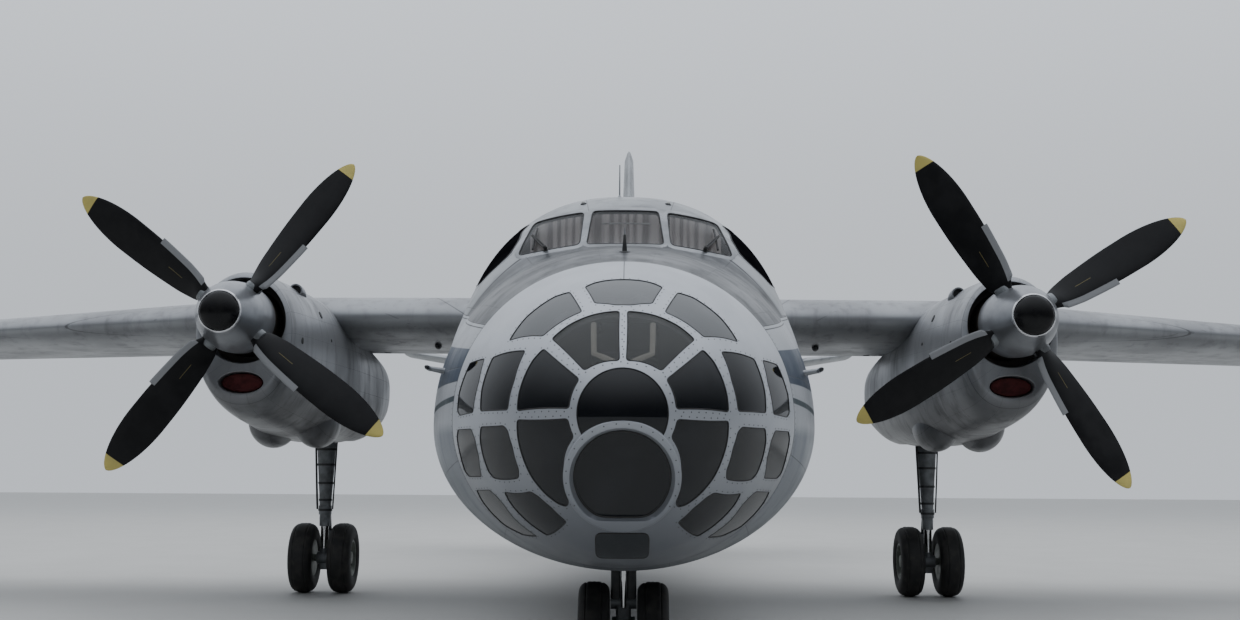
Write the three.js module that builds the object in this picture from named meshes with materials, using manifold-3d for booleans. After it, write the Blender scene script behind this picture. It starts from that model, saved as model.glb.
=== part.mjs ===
// Twin-propeller high-wing survey aircraft with a glazed nose, parked on its gear.
// Millimetres. +X is the aircraft's left, +Y is aft, +Z is up and the ground is z = 0.
// A station is the distance aft of the nose tip, so y = NOSE_Y + station.
// Every shape is made in place; a mirrored copy gives the other side.
import * as THREE from 'three';
import { mergeVertices } from 'three/addons/utils/BufferGeometryUtils.js';
import Module from 'manifold-3d';

const wasm = await Module();
wasm.setup();

// Driving dimensions of the whole aircraft
const LENGTH = 24260;
const HALF_SPAN = 14600;
const HEIGHT = 8320;
const NOSE_Y = -LENGTH / 2;
const GAP = 0.3;
const PIN_PLAY = 0.8;

// Fuselage: station of each section, half width, height of the widest level, top and bottom,
// and the powers of the superellipses above and below the widest level
const FUSELAGE = [
  [0, 0, 1900, 1900, 1900, 2, 2],
  [55, 266, 1900, 2167, 1634, 2, 2],
  [320, 628, 1900, 2527, 1285, 2, 2],
  [670, 881, 1900, 2759, 1050, 2.02, 2],
  [1170, 1111, 1900, 2944, 953, 2.06, 2],
  [1700, 1270, 1900, 3095, 905, 2.1, 2],
  [2300, 1381, 1900, 3215, 868, 2.12, 2],
  [2750, 1427, 1900, 3300, 858, 2.15, 2],
  [3200, 1448, 1900, 3640, 852, 2.17, 2],
  [3600, 1450, 1910, 3800, 850, 2.3, 2],
  [4400, 1450, 1940, 3950, 850, 2.42, 2],
  [6000, 1450, 2020, 3860, 850, 2.3, 2.03],
  [8500, 1450, 2180, 3640, 850, 2.1, 2.05],
  [14500, 1450, 2200, 3620, 850, 2.1, 2.05],
  [16500, 1350, 2330, 3610, 1130, 2.05, 2],
  [19000, 1060, 2620, 3590, 1850, 2, 2],
  [21500, 690, 2920, 3560, 2440, 2, 2],
  [23400, 360, 3160, 3510, 2850, 2, 2],
  [24000, 220, 3240, 3460, 3040, 2, 2],
  [24260, 90, 3290, 3390, 3190, 2, 2],
];
const SKIN_SIDES = 28;
const NOSE_WALL = 45;
const NOSE_FRAME_RINGS = [55, 78, 320, 390, 670, 740, 1020, 1170];
const FORWARD = { from: 1170 + GAP, to: 6000, wall: 80 };
const FORWARD_RINGS = [1700, 2300, 2750, 3200, 3600, 4400];
const CENTRE = { from: 6000 + GAP, to: 14000, wall: 80 };
const CENTRE_RINGS = [7200, 8500];
const REAR = { from: 14000 + GAP, to: 19000, wall: 50 };
const REAR_RINGS = [14500, 16500];
const TAIL_CONE = { from: 19000 + GAP, to: 24260, wall: 40 };
const TAIL_RINGS = [21500, 23400, 24000];

// Windows of the glazed nose. Each lies between two stations. Its ends are clock angles in degrees,
// 0 at the level of the nose axis and 90 at the top, at the inner and at the outer edge.
// Those listed are on the left; each has a twin on the right.
const NOSE_WINDOWS = [
  { inner: 78, outer: 320, low: [48.8, 46.7], high: [85.2, 87.3] },
  { inner: 78, outer: 320, low: [5.3, 3.2], high: [39.2, 41.3] },
  { inner: 78, outer: 320, low: [-62, -57], high: [-4.3, -2.2] },
  { inner: 390, outer: 670, low: [36.4, 35], high: [67.5, 68.4] },
  { inner: 390, outer: 670, low: [3.5, 2.7], high: [31, 32] },
  { inner: 390, outer: 670, low: [-28.4, -28], high: [-3.5, -2.7] },
  { inner: 390, outer: 670, low: [-60, -60], high: [-33, -32.6] },
  { inner: 740, outer: 1020, low: [2.5, 2.3], high: [21.5, 21.5] },
  { inner: 740, outer: 1020, low: [-21.5, -21.5], high: [-3.6, -3.4] },
  { inner: 740, outer: 1020, low: [-52, -52], high: [-27.5, -27.5] },
];
const TOP_NOSE_WINDOW = { inner: 390, outer: 670, low: [80.6, 74], high: [99.4, 106] };
const SIGHT = { station: 110, z: 1523, tilt: 20, radius: 284, ring: 340, chord: 238, proud: 20, deep: 260 };
const NOSE_STEP = 15;
const GLASS = { gap: 0.6, thickness: 9 };

// Cockpit windows: corners of the front panes as x and z, of the side pane as station and z
const WINDSHIELD = [[-290, 3322], [290, 3322], [252, 3618], [-252, 3618]];
const FRONT_PANE = [[352, 3317], [814, 3262], [690, 3640], [326, 3622]];
const SIDE_PANE = [[3230, 3150], [3330, 3075], [4480, 3120], [4480, 3590], [3800, 3590]];
const COCKPIT_GLASS = { from: 2560, to: 4640, low: 2900 };

// Cockpit and nose compartment
const COCKPIT_DECK = { from: 2500, to: 5990, z: 2250, thickness: 60 };
const PANEL = { from: 2960, to: 3080, top: 3150 };
const SEAT = { width: 480, depth: 480, thick: 110, back: 650, height: 430, x: 440, station: 4250 };
const NOSE_DECK = { from: 1210, to: 2900, z: 1180, thickness: 50 };

// Doors and the camera panel in the tube
const CARGO_DOOR = { from: 6900, to: 8100, low: 1500, high: 2850, gap: 8 };
const ENTRY_DOOR = { from: 14900, to: 15650, low: 1560, high: 2960, gap: GAP };
const DOOR_HINGE = { stations: [7100, 7900], radius: 16, length: 60, clear: 5, lug: [45, 30] };
const CAMERA_PANEL = { half: 420, gap: 0.3, port: 150 };
// The camera panels in a row: letter, first station, station of its square port, last station
const CAMERA_ROW = [
  ['a', 9300, 9700, 9950], ['b', 9950, 10200, 10450], ['c', 10450, 10700, 10950],
  ['d', 10950, 11200, 11425], ['e', 11425, 11650, 11900],
];

// Lifting surfaces. Each row has the position along the span, the station and height of the
// leading edge, the chord, and the thickness as a fraction of it. A standing one spans upwards.
const JOINT_X = 4300;
const WING = { incidence: 3, camber: 0.02, standing: false, rows: [
  [0, 9150, 3420, 3450, 0.18],
  [JOINT_X, 9150, 3420, 3450, 0.17],
  [9450, 10058, 3204, 2275, 0.145],
  [14250, 10905, 3003, 1180, 0.13],
  [HALF_SPAN, 11110, 2990, 760, 0.1],
] };
const NACELLE_X = 3950;
const INNER_FLAP = { from: 1510, to: 3262, hinge: 0.74, gap: 9, end: 14 };
const OUTER_FLAP = { from: 4660, to: 9330, hinge: 0.74, gap: 9, end: 26 };
const AILERON = { from: 9400, to: 14220, hinge: 0.745, gap: 9, end: 20 };

const TAILPLANE = { incidence: 0, camber: 0, standing: false, rows: [
  [0, 20380, 3270, 2820, 0.12],
  [4440, 21475, 3973, 1370, 0.1],
  [4540, 21600, 3989, 1120, 0.07],
] };
const FIN = { incidence: 0, camber: 0, standing: true, rows: [
  [3300, 19130, 0, 4720, 0.11],
  [8140, 22190, 0, 1860, 0.1],
  [HEIGHT, 22420, 0, 1480, 0.06],
] };
const DORSAL = { incidence: 0, camber: 0, standing: true, rows: [
  [3300, 15200, 0, 6400, 0.045],
  [3760, 16600, 0, 5000, 0.04],
  [4650, 19700, 0, 2400, 0.03],
] };
const VENTRAL = { incidence: 0, camber: 0, standing: true, rows: [
  [1930, 19900, 0, 1500, 0.06],
  [2900, 18500, 0, 3600, 0.06],
] };
const TAIL_BOX = { wall: 32, finTop: 7400, tip: 3700 };
const ELEVATOR = { from: 760, to: 4380, hinge: 0.66, gap: 9, end: 46 };
const RUDDER = { from: 3960, to: 8180, hinge: 0.665, gap: 12, end: 25 };
const HINGE_PIN = { radius: 12, sunk: 60, sides: 8 };

// Engine pods: station, half width, widest level, top, bottom, powers above and below
const POD = [
  [6750, 455, 3020, 3570, 2310, 2, 2.3],
  [6830, 500, 3010, 3618, 2240, 2, 2.3],
  [7300, 530, 2960, 3650, 2110, 2.1, 2.3],
  [8200, 565, 2900, 3662, 2020, 2.2, 2.4],
  [9000, 605, 2850, 3655, 1970, 2.3, 2.8],
  [9600, 635, 2800, 3600, 1945, 2.3, 3],
  [10300, 650, 2760, 3480, 1930, 2.3, 3],
  [11500, 650, 2700, 3360, 1950, 2.4, 3],
  [12300, 630, 2700, 3262, 2080, 2.4, 3],
  [13000, 520, 2740, 3160, 2340, 2.2, 2.6],
  [13600, 310, 2830, 3070, 2640, 2, 2.2],
  [14000, 90, 2940, 3010, 2880, 2, 2],
];
const POD_SIDES = 20;
const COWL = { from: 6750, to: 8600, wall: 40, mouth: 440, axisZ: 3110 };
const OIL_COOLER = { z: 2468, halfWidth: 225, halfHeight: 108 };
const NACELLE_RINGS = [8600 + GAP, 9600, 10300, 11500, 12300, 13000, 13600, 14000];
const BULGE = { x: 262, station: 9350, z: 2150, radii: [250, 690, 308] };
const ENGINE = { from: 6950, to: 9050, radius: 335, shaft: 60, sides: 12 };
const GEAR_BAY = { half: 300, from: 10950, to: 12250, top: 2620 };
const EXHAUST = { x: [560, 800], station: [10700, 11600], z: [2700, 2680], radii: [95, 150], wall: 18 };

// Propellers: rest angle of the first blade seen from the front, anticlockwise from +X
const PROPELLER = { station: 6300, radius: 1950, hub: 150, shank: 82, depth: 300 };
const BLADE_ANGLE = { left: 31.6, right: 52.4 };
// Blade sections: radius, chord, thickness, pitch in degrees
const BLADE = [
  [100, 130, 130, 50],
  [380, 132, 126, 50],
  [480, 210, 74, 46],
  [640, 310, 52, 38],
  [1150, 412, 36, 25],
  [1700, 392, 24, 18],
  [1880, 280, 18, 16],
  [PROPELLER.radius, 80, 10, 15],
];
const SPINNER = [[6690, 352], [6480, 365], [6150, 352], [5960, 304], [5868, 246], [5850, 214]];
const SPINNER_DOME = [[5846, 192], [5792, 132], [5768, 0]];
const SPINNER_WALL = 30;
const SPINNER_PLATE = { from: 6450 + GAP, to: 6475, hole: 80 };

// Main gear
const MAIN = { station: 11250, axleZ: 450, tyre: 450, width: 300, rim: 225, spacing: 252, axle: 45 };
const MAIN_LEG = [[2560, 105], [2440, 122], [1960, 130], [1130, 74], [1128, 84], [1010, 84], [1008, 55], [430, 55]];
const MAIN_BEAM = { half: 88, radius: 88 };
// Nose gear
const NOSE = { station: 3600, axleZ: 350, tyre: 350, width: 250, rim: 170, spacing: 235, axle: 36 };
const NOSE_COLUMN = { x: 64, width: 80, depth: 110, low: 520, high: 868 };
const NOSE_BAY_RADIUS = 190;
const SPINDLE = { radius: 60, top: 1180, sides: 14 };
const WHEEL_SIDES = 18;
const SPINNER_SIDES = 16;

// Colours, roughness and metalness
const FINISH = {
  skin: [0xb4b8bc, 0.42, 0.7],
  nose: [0xc4c7ca, 0.38, 0.6],
  glass: [0x20262c, 0.06, 0.1],
  interior: [0x7c8076, 0.8, 0.1],
  seat: [0x39424a, 0.9, 0],
  wing: [0xa9adb0, 0.45, 0.7],
  pod: [0xa4a8ac, 0.45, 0.6],
  engine: [0x55585a, 0.6, 0.8],
  exhaust: [0x5b5048, 0.6, 0.8],
  blade: [0x141516, 0.5, 0.1],
  spinner: [0xb0b3b6, 0.3, 0.7],
  leg: [0x777b7e, 0.45, 0.6],
  rim: [0x6f8f86, 0.5, 0.4],
  tyre: [0x141414, 0.9, 0],
};

const radians = THREE.MathUtils.degToRad;
const vector = (x, y, z) => new THREE.Vector3(x, y, z);

// Smooth curve through one column of a table, with no overshoot between the rows.
// It runs over the square root of the station, so that a blunt nose comes out round.
function tableCurve(table, column) {
  const xs = table.map((row) => Math.sqrt(row[0]));
  const ys = table.map((row) => row[column]);
  const slopes = xs.slice(1).map((x, i) => (ys[i + 1] - ys[i]) / (x - xs[i]));
  const tangents = xs.map((x, i) => {
    if (i === 0) return slopes[0];
    if (i === xs.length - 1) return slopes[i - 1];
    const [before, after] = [slopes[i - 1], slopes[i]];
    return before * after <= 0 ? 0 : (2 * before * after) / (before + after);
  });
  return (station) => {
    const x = THREE.MathUtils.clamp(Math.sqrt(Math.max(station, 0)), xs[0], xs[xs.length - 1]);
    const i = Math.min(Math.max(xs.findIndex((value) => value > x) - 1, 0), xs.length - 2);
    const k = x === xs[xs.length - 1] ? xs.length - 2 : i;
    const h = xs[k + 1] - xs[k];
    const t = (x - xs[k]) / h;
    return (
      ys[k] * (1 + 2 * t) * (1 - t) ** 2 +
      ys[k + 1] * t * t * (3 - 2 * t) +
      h * tangents[k] * t * (1 - t) ** 2 -
      h * tangents[k + 1] * t * t * (1 - t)
    );
  };
}

// A body of superellipse sections: point(station, angle) is on its surface, with the angle in
// radians, 0 at +X and a quarter turn at the top
function sectionBody(table, centreX = 0) {
  const [halfWidth, level, top, bottom, upper, lower] = [1, 2, 3, 4, 5, 6].map((c) => tableCurve(table, c));
  const curved = (value, power) => Math.sign(value) * Math.abs(value) ** (2 / power);
  const point = (station, angle) => {
    const above = Math.sin(angle) >= 0;
    const power = above ? upper(station) : lower(station);
    const height = above ? top(station) - level(station) : level(station) - bottom(station);
    const x = centreX + halfWidth(station) * curved(Math.cos(angle), power);
    return vector(x, NOSE_Y + station, level(station) + height * curved(Math.sin(angle), power));
  };
  const normal = (station, angle) => {
    if (station < 1) return vector(0, -1, 0);
    const [step, turn] = [0.5, 1e-3];
    const along = point(station + step, angle).sub(point(station - step, angle));
    const around = point(station, angle + turn).sub(point(station, angle - turn));
    return around.cross(along).normalize().negate();
  };
  const inset = (station, angle, depth) => point(station, angle).addScaledVector(normal(station, angle), -depth);
  // Point on the inset surface whose own station is the given one
  const insetAt = (station, angle, depth) => {
    let source = station;
    for (let i = 0; i < 6; i += 1) source += (station - (inset(source, angle, depth).y - NOSE_Y)) * 0.9;
    const found = inset(source, angle, depth);
    found.y = NOSE_Y + station;
    return found;
  };
  const widthAt = (station, z) => {
    const share = (z - level(station)) / (top(station) - level(station));
    return halfWidth(station) * (1 - share ** upper(station)) ** (1 / upper(station));
  };
  return { point, inset, insetAt, widthAt };
}

const fuselage = sectionBody(FUSELAGE);
const pod = sectionBody(POD, NACELLE_X);
const turns = (count) => Array.from({ length: count }, (_, i) => (2 * Math.PI * i) / count);

function reversed(geometry) {
  const index = geometry.getIndex();
  for (let i = 0; i < index.count; i += 3) {
    const second = index.getX(i + 1);
    index.setX(i + 1, index.getX(i + 2));
    index.setX(i + 2, second);
  }
  return geometry;
}

// Turns a closed shape's faces outwards: the volume under its triangles is then positive
function outward(geometry) {
  const [position, index] = [geometry.getAttribute('position'), geometry.getIndex()];
  const corner = (i) => vector(0, 0, 0).fromBufferAttribute(position, index.getX(i));
  let volume = 0;
  for (let i = 0; i < index.count; i += 3) volume += corner(i).dot(corner(i + 1).cross(corner(i + 2)));
  return volume < 0 ? reversed(geometry) : geometry;
}

function facing(points, triangles) {
  const geometry = new THREE.BufferGeometry().setFromPoints(points);
  geometry.setIndex(triangles.flat());
  return outward(geometry);
}

// Triangles that fill a ring, given as indices into the list of points
function fillRing(points, ring) {
  const normal = vector(0, 0, 0);
  ring.forEach((id, i) => {
    const [a, b] = [points[id], points[ring[(i + 1) % ring.length]]];
    normal.add(vector(0, 0, 0).crossVectors(a, b));
  });
  const first = points[ring[0]];
  if (normal.length() < 1e-3) return [];
  normal.normalize();
  const across = Math.abs(normal.z) < 0.9 ? vector(0, 0, 1).cross(normal).normalize() : vector(1, 0, 0);
  const up = vector(0, 0, 0).crossVectors(normal, across);
  const flat = ring.map((id) => {
    const offset = points[id].clone().sub(first);
    return new THREE.Vector2(offset.dot(across), offset.dot(up));
  });
  return THREE.ShapeUtils.triangulateShape(flat, []).map((face) => face.map((k) => ring[k]));
}

function bandTriangles(start, next, count) {
  return turns(count).flatMap((_, i) => {
    const j = (i + 1) % count;
    return [[start + i, start + j, next + j], [start + i, next + j, next + i]];
  });
}

// Solid skin over a stack of rings of equal length, with the first and last ring filled
function loft(rings) {
  const count = rings[0].length;
  const points = rings.flat();
  const sides = rings.slice(1).flatMap((_, i) => bandTriangles(i * count, (i + 1) * count, count));
  const last = (rings.length - 1) * count;
  const front = fillRing(points, turns(count).map((_, i) => i)).map(([a, b, c]) => [a, c, b]);
  const back = fillRing(points, turns(count).map((_, i) => last + i));
  return facing(points, [...front, ...sides, ...back]);
}

// Wall between an outer and an inner stack of rings. It is open where open names an end.
function wallLoft(outer, inner, open = ['front', 'back']) {
  const count = outer[0].length;
  const points = [...outer.flat(), ...inner.flat()];
  const base = outer.length * count;
  const skin = outer.slice(1).flatMap((_, i) => bandTriangles(i * count, (i + 1) * count, count));
  const lining = inner.slice(1).flatMap((_, i) => {
    return bandTriangles(base + i * count, base + (i + 1) * count, count).map(([a, b, c]) => [a, c, b]);
  });
  const ends = { front: [0, base], back: [base - count, points.length - count] };
  const rims = Object.entries(ends).flatMap(([name, [a, b]]) => {
    const ringAt = (start) => turns(count).map((_, i) => start + i);
    const forward = name === 'front';
    if (open.includes(name)) {
      const band = bandTriangles(b, a, count);
      return forward ? band : band.map(([p, q, r]) => [p, r, q]);
    }
    const [cap, liningCap] = [fillRing(points, ringAt(a)), fillRing(points, ringAt(b))];
    const flipped = (faces) => faces.map(([p, q, r]) => [p, r, q]);
    return forward ? [...flipped(cap), ...liningCap] : [...cap, ...flipped(liningCap)];
  });
  return facing(points, [...skin, ...lining, ...rims]);
}

function toSolid(geometry) {
  const bare = new THREE.BufferGeometry();
  bare.setAttribute('position', geometry.getAttribute('position'));
  bare.setIndex(geometry.getIndex());
  const merged = mergeVertices(bare, 1e-3);
  const ids = Array.from(merged.getIndex().array);
  const kept = [];
  for (let i = 0; i < ids.length; i += 3) {
    const [a, b, c] = ids.slice(i, i + 3);
    if (a !== b && b !== c && c !== a) kept.push(a, b, c);
  }
  const vertProperties = new Float32Array(merged.getAttribute('position').array);
  return new wasm.Manifold(new wasm.Mesh({ numProp: 3, vertProperties, triVerts: new Uint32Array(kept) }));
}

function toGeometry(solid) {
  const mesh = solid.getMesh();
  const geometry = new THREE.BufferGeometry();
  geometry.setAttribute('position', new THREE.BufferAttribute(new Float32Array(mesh.vertProperties), 3));
  geometry.setIndex(Array.from(mesh.triVerts));
  return geometry;
}

const cut = (geometry, ...tools) =>
  toGeometry(tools.reduce((solid, tool) => solid.subtract(toSolid(tool)), toSolid(geometry)));
const join = (geometry, ...others) =>
  toGeometry(others.reduce((solid, other) => solid.add(toSolid(other)), toSolid(geometry)));
const common = (a, b) => toGeometry(toSolid(a).intersect(toSolid(b)));

// The same shape on the aircraft's other side
function mirrored(geometry) {
  const copy = geometry.clone();
  copy.scale(-1, 1, 1);
  return reversed(copy);
}

// Box between two corners, given as x, station and z
function box([x0, s0, z0], [x1, s1, z1]) {
  const geometry = new THREE.BoxGeometry(x1 - x0, s1 - s0, z1 - z0);
  return geometry.translate((x0 + x1) / 2, NOSE_Y + (s0 + s1) / 2, (z0 + z1) / 2);
}

// Round bar from one point to another, each given as x, station and z
function bar([x0, s0, z0], [x1, s1, z1], radius, endRadius = radius, sides = 10) {
  const [a, b] = [vector(x0, NOSE_Y + s0, z0), vector(x1, NOSE_Y + s1, z1)];
  const direction = b.clone().sub(a);
  const geometry = new THREE.CylinderGeometry(endRadius, radius, direction.length(), sides);
  geometry.rotateY(Math.PI / sides);
  const turn = new THREE.Quaternion().setFromUnitVectors(vector(0, 1, 0), direction.normalize());
  return geometry.applyQuaternion(turn).translate(...a.add(b).multiplyScalar(0.5).toArray());
}

// Body turned about a line along X or Y from [along, radius] pairs, with a flat side below
function turned(profile, axis, [x, station, z], sides = WHEEL_SIDES) {
  const points = profile.map(([along, radius]) => new THREE.Vector2(radius, along));
  const geometry = new THREE.LatheGeometry(points, sides);
  geometry.rotateY(Math.PI / sides);
  if (axis === 'x') geometry.rotateZ(-Math.PI / 2);
  return outward(geometry.translate(x, NOSE_Y + station, z));
}

// Airfoil section of a lifting surface at one place along its span.
// Its points are in the section's own plane: aft of the leading edge and up from it.
function airfoil({ rows, camber: bend, incidence, standing }, span) {
  const last = rows.length - 2;
  const found = rows.findIndex((row) => row[0] >= span);
  const i = found < 0 ? last : Math.min(Math.max(found - 1, 0), last);
  const share = (span - rows[i][0]) / (rows[i + 1][0] - rows[i][0]);
  const [station, height, chord, thickness] = [1, 2, 3, 4].map((c) => {
    return rows[i][c] + share * (rows[i + 1][c] - rows[i][c]);
  });
  const half = (x) => {
    const roots = 0.2969 * Math.sqrt(x) - 0.126 * x - 0.3516 * x ** 2 + 0.2843 * x ** 3 - 0.1036 * x ** 4;
    return 5 * thickness * chord * roots;
  };
  const camber = (x) => 4 * bend * chord * x * (1 - x);
  const upper = (x) => [x * chord, camber(x) + half(x)];
  const lower = (x) => [x * chord, camber(x) - half(x)];
  return { span, station, height, chord, upper, lower, pitch: radians(incidence), standing };
}

const CHORD_STEPS = [0.012, 0.05, 0.13, 0.27, 0.45, 0.64, 0.82];
const TRAILING = 0.995;
const COVE_MARGIN = 200;
const SPAR_STEPS = [0.12, 0.22, 0.34, 0.48, 0.58];

// Full outline of a section: over the top to the leading edge and back below
function fullOutline(section) {
  const aft = [...CHORD_STEPS].reverse();
  return [
    section.upper(TRAILING), ...aft.map(section.upper), [0, 0],
    ...CHORD_STEPS.map(section.lower), section.lower(TRAILING),
  ];
}

// Puts section points in the aircraft: wings and tailplanes lie along X, fins stand along Z
function placeOutline(section, outline) {
  const { pitch, standing } = section;
  return outline.map(([aft, up]) => {
    const station = section.station + aft * Math.cos(pitch) + up * Math.sin(pitch);
    const height = up * Math.cos(pitch) - aft * Math.sin(pitch);
    if (standing) return vector(height, NOSE_Y + station, section.span);
    return vector(section.span, NOSE_Y + station, section.height + height);
  });
}

// Moves an outline outwards by a distance along its corners' own normals
function grown(outline, distance) {
  const count = outline.length;
  const area = outline.reduce((sum, [x, y], i) => {
    const [nx, ny] = outline[(i + 1) % count];
    return sum + x * ny - nx * y;
  }, 0);
  const sign = Math.sign(area);
  return outline.map(([x, y], i) => {
    const [before, after] = [outline[(i + count - 1) % count], outline[(i + 1) % count]];
    const first = new THREE.Vector2(y - before[1], before[0] - x).normalize();
    const second = new THREE.Vector2(after[1] - y, x - after[0]).normalize();
    const middle = first.clone().add(second).normalize();
    const reach = (sign * distance) / Math.max(middle.dot(first), 0.3);
    return [x + middle.x * reach, y + middle.y * reach];
  });
}

const spansOf = ({ rows }, from, to) => {
  const between = rows.map((row) => row[0]).filter((span) => span > from + 1 && span < to - 1);
  return [from, ...between, to];
};

// Lifting surface between two places along its span
function surface(plan, from, to, growth = 0) {
  return loft(spansOf(plan, from, to).map((span) => {
    const section = airfoil(plan, span);
    return placeOutline(section, growth ? grown(fullOutline(section), growth) : fullOutline(section));
  }));
}

// Space inside a lifting surface, between the spars and within its skins
function sparBox(plan, from, to, wall) {
  return loft(spansOf(plan, from, to).map((span) => {
    const section = airfoil(plan, span);
    const sunk = (side, sign) => SPAR_STEPS.map((x) => {
      const [aft, up] = side(x);
      return [aft, up - sign * wall];
    });
    return placeOutline(section, [...sunk(section.upper, 1), ...sunk(section.lower, -1).reverse()]);
  }));
}

const arc = ([cx, cy], radius, from, to, steps) =>
  Array.from({ length: steps + 1 }, (_, i) => {
    const angle = radians(from + ((to - from) * i) / steps);
    return [cx + radius * Math.cos(angle), cy + radius * Math.sin(angle)];
  });

// Hinged rear part of a surface. A flap turns about its lower skin and has a quarter-round nose;
// any other control turns about its middle and has a half-round nose. The cove that it turns in
// is wider by its gap. Both come back with the hinge line's two ends.
function control(plan, spec, flap = false) {
  const aftSteps = CHORD_STEPS.filter((x) => x > spec.hinge + 0.04);
  const stations = spansOf(plan, spec.from, spec.to);
  const hingeAt = (span) => {
    const section = airfoil(plan, span);
    const [top, foot] = [section.upper(spec.hinge), section.lower(spec.hinge)];
    const depth = top[1] - foot[1];
    const centre = flap ? foot : [top[0], (top[1] + foot[1]) / 2];
    return { section, centre, radius: flap ? depth : depth / 2 };
  };
  const noseArc = (centre, radius) => (flap ? arc(centre, radius, 90, 180, 5) : arc(centre, radius, 90, 270, 8));
  const moving = stations.map((span) => {
    const { section, centre, radius } = hingeAt(span);
    const above = [...aftSteps].reverse().map(section.upper);
    const below = [...(flap ? [centre] : []), ...aftSteps.map(section.lower)];
    const nose = noseArc(centre, radius);
    const outline = [section.upper(TRAILING), ...above, ...nose, ...below, section.lower(TRAILING)];
    return placeOutline(section, outline);
  });
  const ends = [spec.from - spec.end, ...stations.slice(1, -1), spec.to + spec.end];
  const coves = ends.map((span) => {
    const { section, centre, radius } = hingeAt(span);
    const reach = radius + spec.gap;
    const high = centre[1] + reach + COVE_MARGIN;
    const low = centre[1] - (flap ? 0 : reach) - COVE_MARGIN;
    const aft = section.chord + COVE_MARGIN;
    const foot = flap ? [centre[0] - reach, low] : [centre[0], low];
    const outline = [[aft, high], [centre[0], high], ...noseArc(centre, reach), foot, [aft, low]];
    return placeOutline(section, outline);
  });
  const hinge = [spec.from, spec.to].map((span) => {
    const { section, centre } = hingeAt(span);
    return placeOutline(section, [centre])[0];
  });
  const pins = [[hinge[1], hinge[0]], [hinge[0], hinge[1]]].map(([a, b]) => hingePin(a, b, spec.end, plan.standing));
  return { geometry: join(loft(moving), ...pins), cove: loft(coves), hinge };
}

// Pin that stands out of a control at b, on its hinge line from a, to just short of a wall that
// lies square to the span at a distance from the control's end
function hingePin(a, b, distance, standing) {
  const direction = b.clone().sub(a).normalize();
  const cosine = Math.abs(standing ? direction.z : direction.x);
  const slant = Math.sqrt(1 - cosine * cosine) / cosine;
  const length = (distance - GAP) / cosine - HINGE_PIN.radius * slant;
  const start = b.clone().addScaledVector(direction, -HINGE_PIN.sunk);
  const end = b.clone().addScaledVector(direction, length);
  const place = ({ x, y, z }) => [x, y - NOSE_Y, z];
  return bar(place(start), place(end), HINGE_PIN.radius, HINGE_PIN.radius, HINGE_PIN.sides);
}

const ringsOf = (body, stations, sides, depth) =>
  stations.map((station) => turns(sides).map((angle) => {
    return depth ? body.insetAt(station, angle, depth) : body.point(station, angle);
  }));

// Hollow stretch of the fuselage, open at both ends
function tube({ from, to, wall }, between) {
  const stations = [from, ...between, to];
  return wallLoft(ringsOf(fuselage, stations, SKIN_SIDES, 0), ringsOf(fuselage, stations, SKIN_SIDES, wall));
}

// Solid that fills the space inside the forward fuselage down to a depth below its skin
function forwardSpace(depth) {
  const stations = [FORWARD.from, ...FORWARD_RINGS, FORWARD.to];
  return loft(ringsOf(fuselage, stations, SKIN_SIDES, depth));
}

const twinWindow = ({ inner, outer, low, high }) => {
  return { inner, outer, low: high.map((angle) => 180 - angle), high: low.map((angle) => 180 - angle) };
};

// Angles from one corner to the next, with more between them where they are far apart
function spread(corners) {
  return corners.slice(1).flatMap((end, i) => {
    const start = corners[i];
    const steps = Math.ceil((end - start) / NOSE_STEP);
    return Array.from({ length: steps }, (_, k) => start + ((end - start) * k) / steps);
  });
}

// Triangles between two rows of vertices, each given as [id, angle], over the same sector
function zipped(near, far) {
  const share = (row, k) => (row[k][1] - row[0][1]) / (row[row.length - 1][1] - row[0][1]);
  const faces = [];
  let [i, j] = [0, 0];
  while (i < near.length - 1 || j < far.length - 1) {
    const nearNext = i < near.length - 1 ? share(near, i + 1) : 2;
    const farNext = j < far.length - 1 ? share(far, j + 1) : 2;
    if (nearNext <= farNext) {
      faces.push([near[i][0], near[i + 1][0], far[j][0]]);
      i += 1;
    } else {
      faces.push([near[i][0], far[j + 1][0], far[j][0]]);
      j += 1;
    }
  }
  return faces;
}

// Vertices of the nose lie on rings at the windows' edges. A sector is the part of a ring
// between two angles, as [id, angle] rows.
const [NOSE_SEAM, NOSE_CLOSE] = [-90, 270];
const noseWindows = [...NOSE_WINDOWS, ...NOSE_WINDOWS.map(twinWindow), TOP_NOSE_WINDOW];
noseWindows.sort((a, b) => a.low[0] - b.low[0]);
const noseRings = NOSE_FRAME_RINGS.map((station) => {
  const corners = noseWindows.flatMap(({ inner, outer, low, high }) => [
    ...(inner === station ? [low[0], high[0]] : []),
    ...(outer === station ? [low[1], high[1]] : []),
  ]);
  return spread([NOSE_SEAM, ...corners.sort((a, b) => a - b), NOSE_CLOSE]);
});
const noseRingStarts = noseRings.map((_, r) => noseRings.slice(0, r).flat().length);
const noseLast = noseRings.length - 1;

function noseSector(r, from, to) {
  const row = [...noseRings[r].map((angle, i) => [noseRingStarts[r] + i, angle]), [noseRingStarts[r], NOSE_CLOSE]];
  return row.filter(([, angle]) => angle > from - 1e-6 && angle < to + 1e-6);
}

const nosePoints = (depth) => noseRings.flatMap((angles, r) => angles.map((angle) => {
  const place = r === noseLast ? fuselage.insetAt : fuselage.inset;
  return place(NOSE_FRAME_RINGS[r], radians(angle), depth);
}));

const noseIds = (row) => row.map(([id]) => id);

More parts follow.
